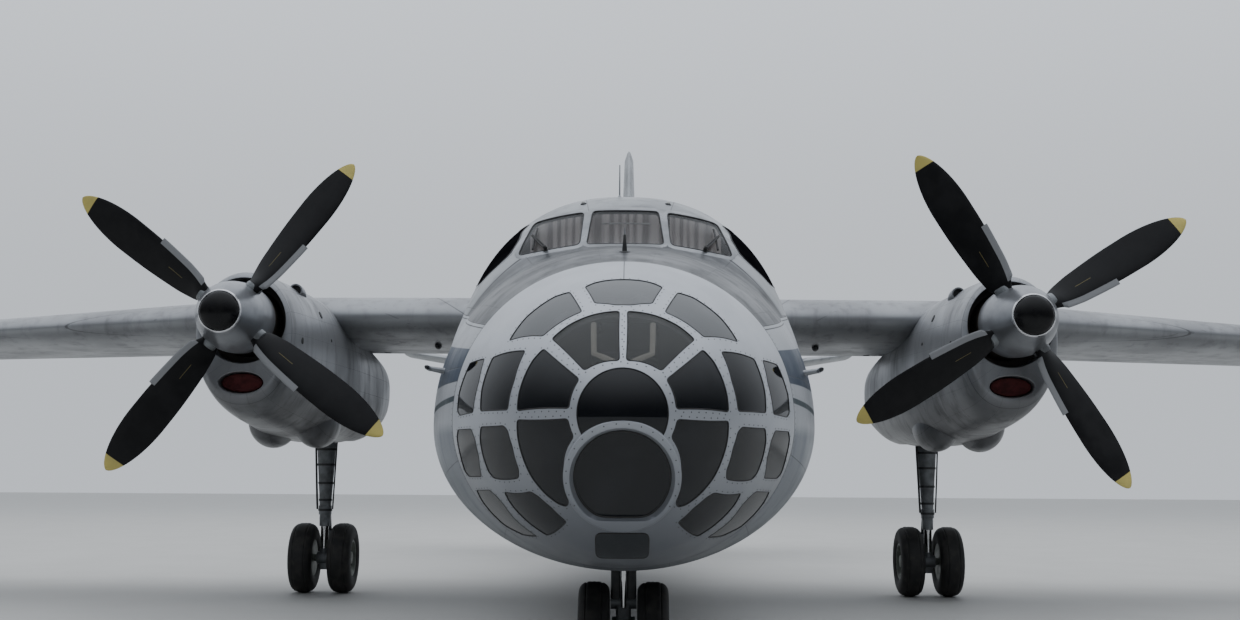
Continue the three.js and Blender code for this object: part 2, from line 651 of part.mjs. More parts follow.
// Triangles of the nose's skin between two rings, laid sector by sector: the skin that is left,
// the panes that the windows take out of it, and the loop of vertices round each pane
function noseBand(r) {
  const here = noseWindows.filter(({ inner }) => inner === NOSE_FRAME_RINGS[r]);
  const sector = (from, to) => [noseSector(r, from[0], to[0]), noseSector(r + 1, from[1], to[1])];
  const edges = [[NOSE_SEAM, NOSE_SEAM], ...here.flatMap(({ low, high }) => [low, high]), [NOSE_CLOSE, NOSE_CLOSE]];
  const sectors = edges.slice(1).map((to, i) => sector(edges[i], to));
  const isPane = (_, i) => i % 2 === 1;
  const isSkin = (_, i) => i % 2 === 0;
  return {
    skin: sectors.filter(isSkin).flatMap(([near, far]) => zipped(near, far)),
    panes: sectors.filter(isPane).flatMap(([near, far]) => zipped(near, far)),
    loops: sectors.filter(isPane).map(([near, far]) => [...noseIds(near), ...noseIds(far).reverse(), near[0][0]]),
  };
}

const noseBands = NOSE_FRAME_RINGS.slice(1).map((_, r) => noseBand(r));
const noseRing = (r) => noseIds(noseSector(r, NOSE_SEAM, NOSE_CLOSE));

// Solid nose without windows at a depth below the skin, flat at the front and at the back
function noseCore(depth) {
  const points = nosePoints(depth);
  const skin = noseBands.flatMap(({ skin: plain, panes }) => [...plain, ...panes]);
  const front = fillRing(points, noseRing(0).slice(0, -1)).map(([a, b, c]) => [a, c, b]);
  return facing(points, [...skin, ...front, ...fillRing(points, noseRing(noseLast).slice(0, -1))]);
}

// Thick frame of the glazed nose, with its windows open
function noseFrameShell() {
  const total = noseRings.flat().length;
  const wall = (loop) => loop.slice(1).flatMap((b, i) => {
    const a = loop[i];
    return [[a, b, b + total], [a, b + total, a + total]];
  });
  const skin = noseBands.flatMap((band) => band.skin);
  const lining = skin.map(([a, b, c]) => [a + total, c + total, b + total]);
  const walls = noseBands.flatMap(({ loops }) => loops.flatMap(wall));
  const ends = [...wall(noseRing(0).reverse()), ...wall(noseRing(noseLast))];
  return facing([...nosePoints(0), ...nosePoints(NOSE_WALL)], [...skin, ...lining, ...walls, ...ends]);
}

// Prism along Y from an outline in x and z, or along X from an outline in station and z
function prismAlongY(outline, from, to) {
  return loft([from, to].map((s) => outline.map(([x, z]) => vector(x, NOSE_Y + s, z))));
}
function prismAlongX(outline, from, to) {
  return loft([from, to].map((x) => outline.map(([s, z]) => vector(x, NOSE_Y + s, z))));
}

// Round bar or ring about the sight window's own axis, from a depth to a distance proud of it
function sightCylinder(radius, proud, deep, sides = 20) {
  const tilt = radians(SIGHT.tilt);
  const axis = [-Math.cos(tilt), -Math.sin(tilt)];
  const along = (distance) => [0, SIGHT.station + axis[0] * distance, SIGHT.z + axis[1] * distance];
  return bar(along(-deep), along(proud), radius, radius, sides);
}

function noseParts() {
  const bore = sightCylinder(SIGHT.radius, 300, 600);
  const collar = sightCylinder(SIGHT.ring, SIGHT.proud, SIGHT.deep);
  const chordZ = SIGHT.z - SIGHT.chord;
  const sill = common(collar, box([-400, -100, chordZ - 200], [400, 600, chordZ]));
  const ahead = box([-400, -200, 0], [400, 0, 4000]);
  const ring = cut(join(cut(collar, bore), sill), noseCore(NOSE_WALL), ahead);
  const near = NOSE_WALL + GLASS.gap;
  return {
    noseFrame: join(cut(noseFrameShell(), bore), ring),
    glazing: cut(noseCore(near), noseCore(near + GLASS.thickness)),
  };
}

function forwardParts() {
  const shell = tube(FORWARD, FORWARD_RINGS);
  const front = prismAlongY(WINDSHIELD, 2400, 3600);
  const pane = prismAlongY(FRONT_PANE, 2500, 4050);
  const side = prismAlongX(SIDE_PANE, 500, 1600);
  const bay = bar([0, NOSE.station, 700], [0, NOSE.station, 1200], NOSE_BAY_RADIUS, NOSE_BAY_RADIUS, 20);
  const forward = cut(shell, front, pane, mirrored(pane), side, mirrored(side), bay);
  const near = FORWARD.wall + GLASS.gap;
  const { from, to, low } = COCKPIT_GLASS;
  const range = box([-1600, from, low], [1600, to, 4100]);
  const glass = cut(common(forwardSpace(near), range), forwardSpace(near + GLASS.thickness));
  return { forward, glass };
}

function cockpitParts() {
  const depth = FORWARD.wall + GLASS.gap + GLASS.thickness + 0.6;
  const space = forwardSpace(depth);
  const { from, to, z, thickness } = COCKPIT_DECK;
  const top = z + thickness;
  const deck = common(box([-1500, from, z], [1500, to, top]), space);
  const panelBox = box([-1500, PANEL.from, top + GAP], [1500, PANEL.to, PANEL.top]);
  const kneeHole = box([-260, PANEL.from - 50, top - 10], [260, PANEL.to + 50, top + 420]);
  const panel = cut(common(panelBox, space), kneeHole);
  const seatAt = (x, station, floor) => {
    const [half, pan] = [SEAT.width / 2, floor + SEAT.height];
    const backFrom = station + SEAT.depth / 2 - 40;
    return [
      box([x - half, station - SEAT.depth / 2, pan], [x + half, backFrom + 10, pan + SEAT.thick]),
      box([x - half, backFrom, pan], [x + half, backFrom + 120, pan + SEAT.back]),
      box([x - 110, station - 130, floor + 10], [x + 110, station + 130, pan + 10]),
    ];
  };
  const rails = box([-640, SEAT.station - 200, top + GAP], [640, SEAT.station + 200, top + 25]);
  const seats = join(rails, ...seatAt(-SEAT.x, SEAT.station, top), ...seatAt(SEAT.x, SEAT.station, top));
  const floorTop = NOSE_DECK.z + NOSE_DECK.thickness;
  const noseSpace = forwardSpace(FORWARD.wall + GAP);
  const floor = common(box([-1500, NOSE_DECK.from, NOSE_DECK.z], [1500, NOSE_DECK.to, floorTop]), noseSpace);
  const navigator = join(floor, ...seatAt(0, 2150, floorTop - 10));
  return { deck, panel, seats, navigator };
}

// A door leaf and the doorway it fills, cut from the tube's side at +X
function sideDoor(shell, { from, to, low, high, gap }) {
  const leafBox = box([300, from + gap, low + gap], [1700, to - gap, high - gap]);
  const leaf = common(shell, leafBox);
  return { leaf, doorway: box([300, from, low], [1700, to, high]) };
}

// Knuckles of the cargo door's hinge, along the top edge of the leaf. Those of the door lie between
// those of the frame, and each has its own room cut in the other piece.
function doorHinge({ from, to, high, gap }) {
  const z = high - gap;
  const x = Math.max(fuselage.widthAt(from, z), fuselage.widthAt(to, z));
  const { stations, radius, length, clear, lug } = DOOR_HINGE;
  const knuckle = (start, end, size) => bar([x, start, z], [x, end, z], size, size, 8);
  // Knuckle on a lug that reaches inboard and up for the frame, or down for the leaf
  const lugged = (start, end, up) => join(
    knuckle(start, end, radius),
    box([x - lug[0], start, z + Math.min(up, 0) * lug[1]], [x + radius / 2, end, z + Math.max(up, 0) * lug[1]]),
  );
  const half = length / 2;
  return {
    line: [vector(x, NOSE_Y + from, z), vector(x, NOSE_Y + to, z)],
    leaf: stations.map((s) => lugged(s - half, s + half, -1)),
    frame: stations.flatMap((s) => [
      lugged(s - half - length, s - half - GAP, 1), lugged(s + half + GAP, s + half + length, 1),
    ]),
    roomInFrame: stations.map((s) => knuckle(s - half - GAP, s + half + GAP, radius + clear)),
    roomInLeaf: stations.flatMap((s) => [
      knuckle(s - half - length - clear, s - half, radius + clear),
      knuckle(s + half, s + half + length + clear, radius + clear),
    ]),
  };
}

function tubeParts(wingCutter) {
  const centreShell = tube(CENTRE, CENTRE_RINGS);
  const cargo = sideDoor(centreShell, CARGO_DOOR);
  const hinge = doorHinge(CARGO_DOOR);
  const cargoDoor = join(cut(cargo.leaf, ...hinge.roomInLeaf), ...hinge.leaf);
  const { half, gap, port } = CAMERA_PANEL;
  const cameraPanels = CAMERA_ROW.map(([letter, from, station, to]) => {
    const range = box([-half + gap, from + gap, 700], [half - gap, to - gap, 1100]);
    const hole = box([-port, station - port, 700], [port, station + port, 1200]);
    return [letter, cut(common(centreShell, range), hole)];
  });
  const opening = box([-half, CAMERA_ROW[0][1], 700], [half, CAMERA_ROW.at(-1)[3], 1100]);
  const doorFrame = cut(centreShell, wingCutter, cargo.doorway, opening, ...hinge.roomInFrame);
  const centre = mirrored(join(doorFrame, ...hinge.frame));
  const rearShell = tube(REAR, REAR_RINGS);
  const entry = sideDoor(rearShell, ENTRY_DOOR);
  const rear = cut(rearShell, entry.doorway);
  const coneStations = [TAIL_CONE.from, ...TAIL_RINGS, TAIL_CONE.to];
  const coneInner = coneStations.slice(0, -1);
  const cone = wallLoft(
    ringsOf(fuselage, coneStations, SKIN_SIDES, 0),
    ringsOf(fuselage, coneInner, SKIN_SIDES, TAIL_CONE.wall),
    ['front'],
  );
  const aftStations = [13900, ...REAR_RINGS, REAR.to, ...TAIL_RINGS, TAIL_CONE.to + 50];
  const outside = loft(ringsOf(fuselage, aftStations, SKIN_SIDES, -GAP));
  return {
    centre, cargoDoor: { geometry: cargoDoor, hinge: hinge.line }, cameraPanels, rear, entryDoor: entry.leaf, cone,
    outside,
  };
}

function wingParts() {
  const innerFlap = control(WING, INNER_FLAP, true);
  const outerFlap = control(WING, OUTER_FLAP, true);
  const aileron = control(WING, AILERON);
  const half = surface(WING, 0, JOINT_X);
  const whole = join(half, mirrored(half));
  const centre = cut(whole, innerFlap.cove, mirrored(innerFlap.cove));
  const outer = cut(surface(WING, JOINT_X + GAP, HALF_SPAN), outerFlap.cove, aileron.cove);
  const innerCutter = surface(WING, 0, JOINT_X + GAP, GAP);
  return {
    centre, outer, innerFlap, outerFlap, aileron,
    fuselageCutter: join(innerCutter, mirrored(innerCutter)),
    podCutter: join(innerCutter, surface(WING, JOINT_X, HALF_SPAN, GAP)),
  };
}

function podParts(podCutter) {
  const stations = [COWL.from, 6830, 7300, 8000, COWL.to];
  const lining = [COWL.from + COWL.wall, 6900, 7300, 8000, COWL.to];
  const shell = wallLoft(
    ringsOf(pod, stations, POD_SIDES, 0), ringsOf(pod, lining, POD_SIDES, COWL.wall), ['back'],
  );
  const mouth = bar([NACELLE_X, 6600, COWL.axisZ], [NACELLE_X, 6900, COWL.axisZ], COWL.mouth, COWL.mouth, 28);
  const cooler = new THREE.CylinderGeometry(1, 1, 300, 20);
  cooler.scale(OIL_COOLER.halfWidth, 1, OIL_COOLER.halfHeight);
  cooler.translate(NACELLE_X, NOSE_Y + COWL.from, OIL_COOLER.z);
  const cowl = cut(shell, mouth, cooler);

  const body = loft(ringsOf(pod, NACELLE_RINGS, POD_SIDES, 0));
  const bulges = [-1, 1].map((side) => {
    const bulge = new THREE.SphereGeometry(1, 10, 8).scale(...BULGE.radii);
    return bulge.translate(NACELLE_X + side * BULGE.x, NOSE_Y + BULGE.station, BULGE.z);
  });
  const firewall = box([NACELLE_X - 1000, 8000, 1000], [NACELLE_X + 1000, 8600 + GAP, 5000]);
  const doors = bulges.map((bulge) => cut(bulge, firewall));
  const engineRoom = [NACELLE_X, ENGINE.to + GAP, COWL.axisZ];
  const pocket = bar([NACELLE_X, 8500, COWL.axisZ], engineRoom, ENGINE.radius + 1, ENGINE.radius + 1, ENGINE.sides);
  const { half, from, to, top } = GEAR_BAY;
  const bay = box([NACELLE_X - half, from, 1500], [NACELLE_X + half, to, top]);
  const nacelle = cut(join(body, ...doors), podCutter, pocket, bay, exhaustPipe(GAP, -0.01));

  const { radius, sides } = ENGINE;
  const block = bar([NACELLE_X, ENGINE.from, COWL.axisZ], [NACELLE_X, ENGINE.to, COWL.axisZ], radius, radius, sides);
  const shaftEnd = PROPELLER.station + PROPELLER.depth / 2 + 0.5;
  const shaft = bar([NACELLE_X, shaftEnd, COWL.axisZ], [NACELLE_X, ENGINE.from + 50, COWL.axisZ], ENGINE.shaft);
  return { cowl, nacelle, engine: join(block, shaft), exhaust: cut(exhaustPipe(0), exhaustPipe(-EXHAUST.wall, 0.05, 1.05)) };
}

// Oval jet pipe leaving the pod's outer side and pointing aft, grown by a distance. It runs
// between two shares of its own length.
function exhaustPipe(growth, start = 0, end = 1) {
  const at = (share) => {
    const [x, station, z] = [EXHAUST.x, EXHAUST.station, EXHAUST.z].map(([a, b]) => a + (b - a) * share);
    return vector(NACELLE_X + x, NOSE_Y + station, z);
  };
  const shape = new THREE.Shape().absellipse(0, 0, EXHAUST.radii[0] + growth, EXHAUST.radii[1] + growth);
  return new THREE.ExtrudeGeometry(shape, {
    extrudePath: new THREE.LineCurve3(at(start), at(end)), steps: 1, curveSegments: 7,
  });
}

// One blade standing along +Z from the hub, its leading edge towards +X turned forward
function blade() {
  const rings = BLADE.map(([radius, chord, thickness, pitch]) => {
    const turn = radians(pitch);
    return turns(6).map((angle) => {
      const [along, through] = [(chord / 2) * Math.cos(angle), (thickness / 2) * Math.sin(angle)];
      const x = along * Math.cos(turn) + through * Math.sin(turn);
      const y = -along * Math.sin(turn) + through * Math.cos(turn);
      return vector(x, y, radius);
    });
  });
  return loft(rings);
}

function propellerParts(restAngle) {
  const hubDepth = PROPELLER.depth / 2;
  const bladeTurns = turns(4).map((turn) => radians(90 - restAngle) - turn);
  const hub = new THREE.CylinderGeometry(PROPELLER.hub, PROPELLER.hub, hubDepth * 2, 16);
  const blades = bladeTurns.map((turn) => blade().rotateY(turn));
  const holes = bladeTurns.map((turn) => {
    const hole = new THREE.CylinderGeometry(PROPELLER.shank, PROPELLER.shank, 400, 6);
    return hole.rotateX(Math.PI / 2).translate(0, 0, 300).rotateY(turn);
  });
  const place = (geometry) => geometry.translate(NACELLE_X, NOSE_Y + PROPELLER.station, COWL.axisZ);
  const aboutHub = (profile) => {
    const local = profile.map(([station, radius]) => [station - PROPELLER.station, radius]);
    return turned(local, 'y', [0, -NOSE_Y, 0], SPINNER_SIDES);
  };
  const rear = SPINNER[0][0];
  const skin = aboutHub([[rear, 0], ...SPINNER, ...SPINNER_DOME]);
  const [back, middle, ...front] = SPINNER.slice(0, 4).map(([station, radius]) => [station, radius - SPINNER_WALL]);
  const plate = SPINNER_PLATE;
  const frontRoom = aboutHub([[plate.from, 0], [plate.from, middle[1]], ...front, [SPINNER[4][0], 0]]);
  const backRoom = aboutHub([[rear + 30, 0], [rear + 30, back[1]], [plate.to, middle[1]], [plate.to, 0]]);
  const shaftHole = aboutHub([[rear, 0], [rear, plate.hole], [plate.from - 10, plate.hole], [plate.from - 10, 0]]);
  const spinner = cut(skin, frontRoom, backRoom, shaftHole, ...holes);
  return { propeller: place(join(hub, ...blades)), spinner: place(spinner) };
}

// Twin wheels on one axle along X, without their tyres
function wheelPair({ station, axleZ, width, rim, spacing, axle }, x) {
  const [edge, well] = [spacing - width * 0.42, rim * 0.8];
  const outer = spacing + width * 0.42;
  const wheel = [
    [edge, rim], [outer, rim], [outer - 45, well], [outer - 25, axle + 24], [outer - 25, 0],
  ];
  const half = [[0, axle], [edge, axle], ...wheel];
  const other = half.map(([along, radius]) => [-along, radius]).reverse();
  return turned([...other, ...half.slice(1)], 'x', [x, station, axleZ]);
}

// Tyre of a twin pair, with its flat running face on the ground
function tyre({ station, axleZ, tyre: radius, width, rim, spacing }, x, side) {
  const inner = rim + GAP;
  const section = [
    [0.42, inner], [0.5, rim + (radius - rim) * 0.42], [0.47, rim + (radius - rim) * 0.78], [0.3, radius],
  ];
  const shoulder = section.map(([part, r]) => [part * width, r]);
  const profile = [...shoulder, ...shoulder.map(([along, r]) => [-along, r]).reverse()];
  profile.push(profile[0]);
  const flat = 1 / Math.cos(Math.PI / WHEEL_SIDES);
  const widened = profile.map(([along, r]) => [along, r === radius ? r * flat : r]);
  return turned(widened, 'x', [x + side * spacing, station, axleZ]);
}

function mainGear() {
  const tubeLeg = loft(MAIN_LEG.map(([z, radius]) => turns(12).map((angle) => {
    return vector(NACELLE_X + radius * Math.cos(angle), NOSE_Y + MAIN.station + radius * Math.sin(angle), z);
  })));
  const { half, top } = GEAR_BAY;
  const trunnionZ = top - 130;
  const trunnion = bar([NACELLE_X - half + GAP, MAIN.station, trunnionZ],
    [NACELLE_X + half - GAP, MAIN.station, trunnionZ], 62);
  const beam = bar([NACELLE_X - MAIN_BEAM.half, MAIN.station, MAIN.axleZ],
    [NACELLE_X + MAIN_BEAM.half, MAIN.station, MAIN.axleZ], MAIN_BEAM.radius, MAIN_BEAM.radius, 12);
  const brace = bar([NACELLE_X, MAIN.station + 40, 1380], [NACELLE_X, GEAR_BAY.to - 120, 2480], 42, 42, 10);
  const braceHead = bar([NACELLE_X - half + GAP, GEAR_BAY.to - 120, 2470],
    [NACELLE_X + half - GAP, GEAR_BAY.to - 120, 2470], 40, 40, 10);
  const linkUpper = bar([NACELLE_X, MAIN.station + 60, 1050], [NACELLE_X, MAIN.station + 290, 790], 34, 34, 8);
  const linkLower = bar([NACELLE_X, MAIN.station + 290, 800], [NACELLE_X, MAIN.station + 50, 500], 34, 34, 8);
  const jackPad = box([NACELLE_X - 50, MAIN.station - 50, 300], [NACELLE_X + 50, MAIN.station + 50, 400]);
  const bore = bar([NACELLE_X - 200, MAIN.station, MAIN.axleZ], [NACELLE_X + 200, MAIN.station, MAIN.axleZ],
    MAIN.axle + PIN_PLAY, MAIN.axle + PIN_PLAY, WHEEL_SIDES);
  return cut(join(tubeLeg, trunnion, beam, brace, braceHead, linkUpper, linkLower, jackPad), bore);
}

function noseGear() {
  const { x, width, depth, low, high } = NOSE_COLUMN;
  const columns = [-1, 1].map((side) => {
    const [a, b] = [side * x - width / 2, side * x + width / 2];
    return box([a, NOSE.station - depth / 2, low], [b, NOSE.station + depth / 2, high]);
  });
  const spindle = bar([0, NOSE.station, low], [0, NOSE.station, SPINDLE.top], SPINDLE.radius, SPINDLE.radius, SPINDLE.sides);
  const yoke = box([-122, NOSE.station - 60, high - 60], [122, NOSE.station + 60, high]);
  const crosspiece = bar([-104, NOSE.station, low + 20], [104, NOSE.station, low + 20], 58, 58, 12);
  const lever = bar([0, NOSE.station, low + 20], [0, NOSE.station, NOSE.axleZ], 62, 62, 12);
  const beam = bar([-92, NOSE.station, NOSE.axleZ], [92, NOSE.station, NOSE.axleZ], 74, 74, 14);
  const towFace = box([-40, NOSE.station - 130, NOSE.axleZ - 40], [40, NOSE.station, NOSE.axleZ + 40]);
  const jackPad = box([-40, NOSE.station - 40, NOSE.axleZ - 110], [40, NOSE.station + 40, NOSE.axleZ]);
  const bore = bar([-200, NOSE.station, NOSE.axleZ], [200, NOSE.station, NOSE.axleZ],
    NOSE.axle + PIN_PLAY, NOSE.axle + PIN_PLAY, WHEEL_SIDES);
  const fork = cut(join(spindle, yoke, ...columns, crosspiece, lever, beam, towFace, jackPad), bore);

  const hull = forwardSpace(FORWARD.wall + GAP);
  const plate = common(box([-330, NOSE.station - 330, 800], [330, NOSE.station + 330, 1010]), hull);
  const sleeve = bar([0, NOSE.station, 990], [0, NOSE.station, SPINDLE.top + 40], 110, 110, 20);
  const holeRadius = (SPINDLE.radius + PIN_PLAY) / Math.cos(Math.PI / SPINDLE.sides);
  const hole = bar([0, NOSE.station, 700], [0, NOSE.station, SPINDLE.top + GAP], holeRadius, holeRadius, SPINDLE.sides);
  return { fork, housing: cut(join(plate, sleeve), hole) };
}

function tailParts(bodyCutter) {
  const rudder = control(FIN, RUDDER);
  const elevator = control(TAILPLANE, ELEVATOR);
  const [finFoot, dorsalFoot, ventralFoot] = [FIN, DORSAL, VENTRAL].map(({ rows }) => rows[0][0]);
  const [dorsalTop, ventralTop, tailTip] = [DORSAL, VENTRAL, TAILPLANE].map(({ rows }) => rows[rows.length - 1][0]);
  const fin = join(surface(FIN, finFoot, HEIGHT), surface(DORSAL, dorsalFoot, dorsalTop));
  const ventral = surface(VENTRAL, ventralFoot, ventralTop);
  const rootless = (geometry, ...others) => cut(geometry, bodyCutter, ...others);
  return {
    fin: rootless(fin, rudder.cove, sparBox(FIN, finFoot - 1, TAIL_BOX.finTop, TAIL_BOX.wall)),
    rudder,
    ventral: rootless(ventral),
    tailplane: rootless(
      surface(TAILPLANE, 0, tailTip), elevator.cove, sparBox(TAILPLANE, 0, TAIL_BOX.tip, TAIL_BOX.wall),
    ),
    elevator,
  };
}

const group = new THREE.Group();

function addPart(name, geometry, finish) {
  const [color, roughness, metalness] = FINISH[finish];
  const material = new THREE.MeshStandardMaterial({ color, roughness, metalness });
  const mesh = new THREE.Mesh(geometry, material);
  mesh.name = name;
  group.add(mesh);
  return mesh;
}

// Adds a part made on the left side and its mirror image on the right
function addPair(name, geometry, finish) {
  addPart(`${name}_left`, geometry, finish);
  addPart(`${name}_right`, mirrored(geometry), finish);
}

// Adds a hinged part made on the left side, or its mirror image. Its mesh keeps the ends of its
// hinge line.
function addHinged(name, { geometry, hinge }, finish, side = 1) {
  const mesh = addPart(name, side > 0 ? geometry : mirrored(geometry), finish);
  mesh.userData.hinge = hinge.map(({ x, y, z }) => [side * x, y, z]);
}

const nose = noseParts();
addPart('nose_frame', nose.noseFrame, 'nose');
addPart('nose_glazing', nose.glazing, 'glass');

const forward = forwardParts();
addPart('forward_fuselage', forward.forward, 'skin');
addPart('cockpit_glazing', forward.glass, 'glass');

const cockpit = cockpitParts();
addPart('cockpit_deck', cockpit.deck, 'interior');
addPart('instrument_panel', cockpit.panel, 'interior');
addPart('pilot_seats', cockpit.seats, 'seat');
addPart('navigator_seat', cockpit.navigator, 'seat');

const wing = wingParts();
const barrel = tubeParts(wing.fuselageCutter);
addPart('centre_fuselage', barrel.centre, 'skin');
addHinged('cargo_door', barrel.cargoDoor, 'skin', -1);
barrel.cameraPanels.forEach(([letter, geometry]) => addPart(`camera_panel_${letter}`, geometry, 'skin'));
addPart('rear_fuselage', barrel.rear, 'skin');
addPart('entry_door', barrel.entryDoor, 'skin');

addPart('tail_cone', barrel.cone, 'skin');
const tail = tailParts(barrel.outside);
addPart('fin', tail.fin, 'skin');
addHinged('rudder', tail.rudder, 'skin');
addPart('ventral_fin', tail.ventral, 'skin');
addPair('tailplane', tail.tailplane, 'skin');

addPart('wing_centre', wing.centre, 'wing');
addPair('wing_outer', wing.outer, 'wing');
for (const [side, sign] of [['left', 1], ['right', -1]]) {
  addHinged(`flap_inner_${side}`, wing.innerFlap, 'wing', sign);
  addHinged(`flap_outer_${side}`, wing.outerFlap, 'wing', sign);
  addHinged(`aileron_${side}`, wing.aileron, 'wing', sign);
  addHinged(`elevator_${side}`, tail.elevator, 'skin', sign);
}

const engines = podParts(wing.podCutter);
addPair('cowl', engines.cowl, 'pod');
addPair('nacelle', engines.nacelle, 'pod');
addPair('engine', engines.engine, 'engine');
addPair('exhaust', engines.exhaust, 'exhaust');

for (const [side, sign] of [['left', 1], ['right', -1]]) {
  const angle = BLADE_ANGLE[side];
  const { propeller, spinner } = propellerParts(angle);
  const shift = sign > 0 ? 0 : -2 * NACELLE_X;
  addPart(`propeller_${side}`, propeller.translate(shift, 0, 0), 'blade');
  addPart(`spinner_${side}`, spinner.translate(shift, 0, 0), 'spinner');
}

addPair('main_leg', mainGear(), 'leg');
for (const [side, x] of [['left', NACELLE_X], ['right', -NACELLE_X]]) {
  addPart(`main_wheels_${side}`, wheelPair(MAIN, x), 'rim');
  addPart(`main_tyre_${side}_outer`, tyre(MAIN, x, Math.sign(x)), 'tyre');
  addPart(`main_tyre_${side}_inner`, tyre(MAIN, x, -Math.sign(x)), 'tyre');
}
const noseLeg = noseGear();
addPart('nose_leg_housing', noseLeg.housing, 'leg');
addPart('nose_fork', noseLeg.fork, 'leg');
addPart('nose_wheels', wheelPair(NOSE, 0), 'rim');
addPart('nose_tyre_left', tyre(NOSE, 0, 1), 'tyre');
addPart('nose_tyre_right', tyre(NOSE, 0, -1), 'tyre');

export default group;
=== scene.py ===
import math

import bmesh
import bpy
import numpy as np
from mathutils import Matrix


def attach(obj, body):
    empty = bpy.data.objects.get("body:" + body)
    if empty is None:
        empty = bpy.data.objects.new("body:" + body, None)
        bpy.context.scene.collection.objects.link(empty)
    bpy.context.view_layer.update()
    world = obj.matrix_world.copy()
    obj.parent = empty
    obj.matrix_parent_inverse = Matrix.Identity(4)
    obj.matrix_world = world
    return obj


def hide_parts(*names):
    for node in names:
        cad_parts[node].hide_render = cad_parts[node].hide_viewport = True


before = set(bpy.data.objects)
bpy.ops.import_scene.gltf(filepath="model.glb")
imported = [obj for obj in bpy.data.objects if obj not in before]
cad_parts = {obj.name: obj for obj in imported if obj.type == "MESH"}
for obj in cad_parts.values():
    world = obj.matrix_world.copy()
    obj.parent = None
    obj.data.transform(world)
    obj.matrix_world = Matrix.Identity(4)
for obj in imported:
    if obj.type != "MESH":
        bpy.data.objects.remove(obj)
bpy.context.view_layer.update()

# Twin-propeller survey aircraft with a glazed nose, parked on its gear.
# Metres: +X is the aircraft's left, +Y aft, +Z up, and the ground is z = 0.
# A station is the distance aft of the nose tip.
NOSE_Y = -12.13
NACELLE_X = 3.95
HALF_SPAN = 14.6
FIN_TOP = 8.32

# Sections of the fuselage and of an engine pod: station, half width, height of the widest level,
# top, bottom, and the powers of the superellipses above and below the widest level
FUSELAGE = [
    (0, 0, 1.9, 1.9, 1.9, 2, 2),
    (0.055, 0.266, 1.9, 2.167, 1.634, 2, 2),
    (0.32, 0.628, 1.9, 2.527, 1.285, 2, 2),
    (0.67, 0.881, 1.9, 2.759, 1.05, 2.02, 2),
    (1.17, 1.111, 1.9, 2.944, 0.953, 2.06, 2),
    (1.7, 1.27, 1.9, 3.095, 0.905, 2.1, 2),
    (2.3, 1.381, 1.9, 3.215, 0.868, 2.12, 2),
    (2.75, 1.427, 1.9, 3.3, 0.858, 2.15, 2),
    (3.2, 1.448, 1.9, 3.64, 0.852, 2.17, 2),
    (3.6, 1.45, 1.91, 3.8, 0.85, 2.3, 2),
    (4.4, 1.45, 1.94, 3.95, 0.85, 2.42, 2),
    (6, 1.45, 2.02, 3.86, 0.85, 2.3, 2.03),
    (8.5, 1.45, 2.18, 3.64, 0.85, 2.1, 2.05),
    (14.5, 1.45, 2.2, 3.62, 0.85, 2.1, 2.05),
    (16.5, 1.35, 2.33, 3.61, 1.13, 2.05, 2),
    (19, 1.06, 2.62, 3.59, 1.85, 2, 2),
    (21.5, 0.69, 2.92, 3.56, 2.44, 2, 2),
    (23.4, 0.36, 3.16, 3.51, 2.85, 2, 2),
    (24, 0.22, 3.24, 3.46, 3.04, 2, 2),
    (24.26, 0.09, 3.29, 3.39, 3.19, 2, 2),
]
POD = [
    (6.75, 0.455, 3.02, 3.57, 2.31, 2, 2.3),
    (6.83, 0.5, 3.01, 3.618, 2.24, 2, 2.3),
    (7.3, 0.53, 2.96, 3.65, 2.11, 2.1, 2.3),
    (8.2, 0.565, 2.9, 3.662, 2.02, 2.2, 2.4),
    (9, 0.605, 2.85, 3.655, 1.97, 2.3, 2.8),
    (9.6, 0.635, 2.8, 3.6, 1.945, 2.3, 3),
    (10.3, 0.65, 2.76, 3.48, 1.93, 2.3, 3),
    (11.5, 0.65, 2.7, 3.36, 1.95, 2.4, 3),
    (12.3, 0.63, 2.7, 3.262, 2.08, 2.4, 3),
    (13, 0.52, 2.74, 3.16, 2.34, 2.2, 2.6),
    (13.6, 0.31, 2.83, 3.07, 2.64, 2, 2.2),
    (14, 0.09, 2.94, 3.01, 2.88, 2, 2),
]

# Fuselage stretches: first and last station, and the wall's thickness
NOSE_FRAME = {"start": 0.055, "end": 1.17, "wall": 0.045}
FORWARD = {"start": 1.1706, "end": 6.0, "wall": 0.03}
CENTRE = {"start": 6.0006, "end": 14.0, "wall": 0.08}
REAR = {"start": 14.0006, "end": 19.0, "wall": 0.05}
TAIL_CONE = {"start": 19.0006, "end": 24.26, "wall": 0.04}

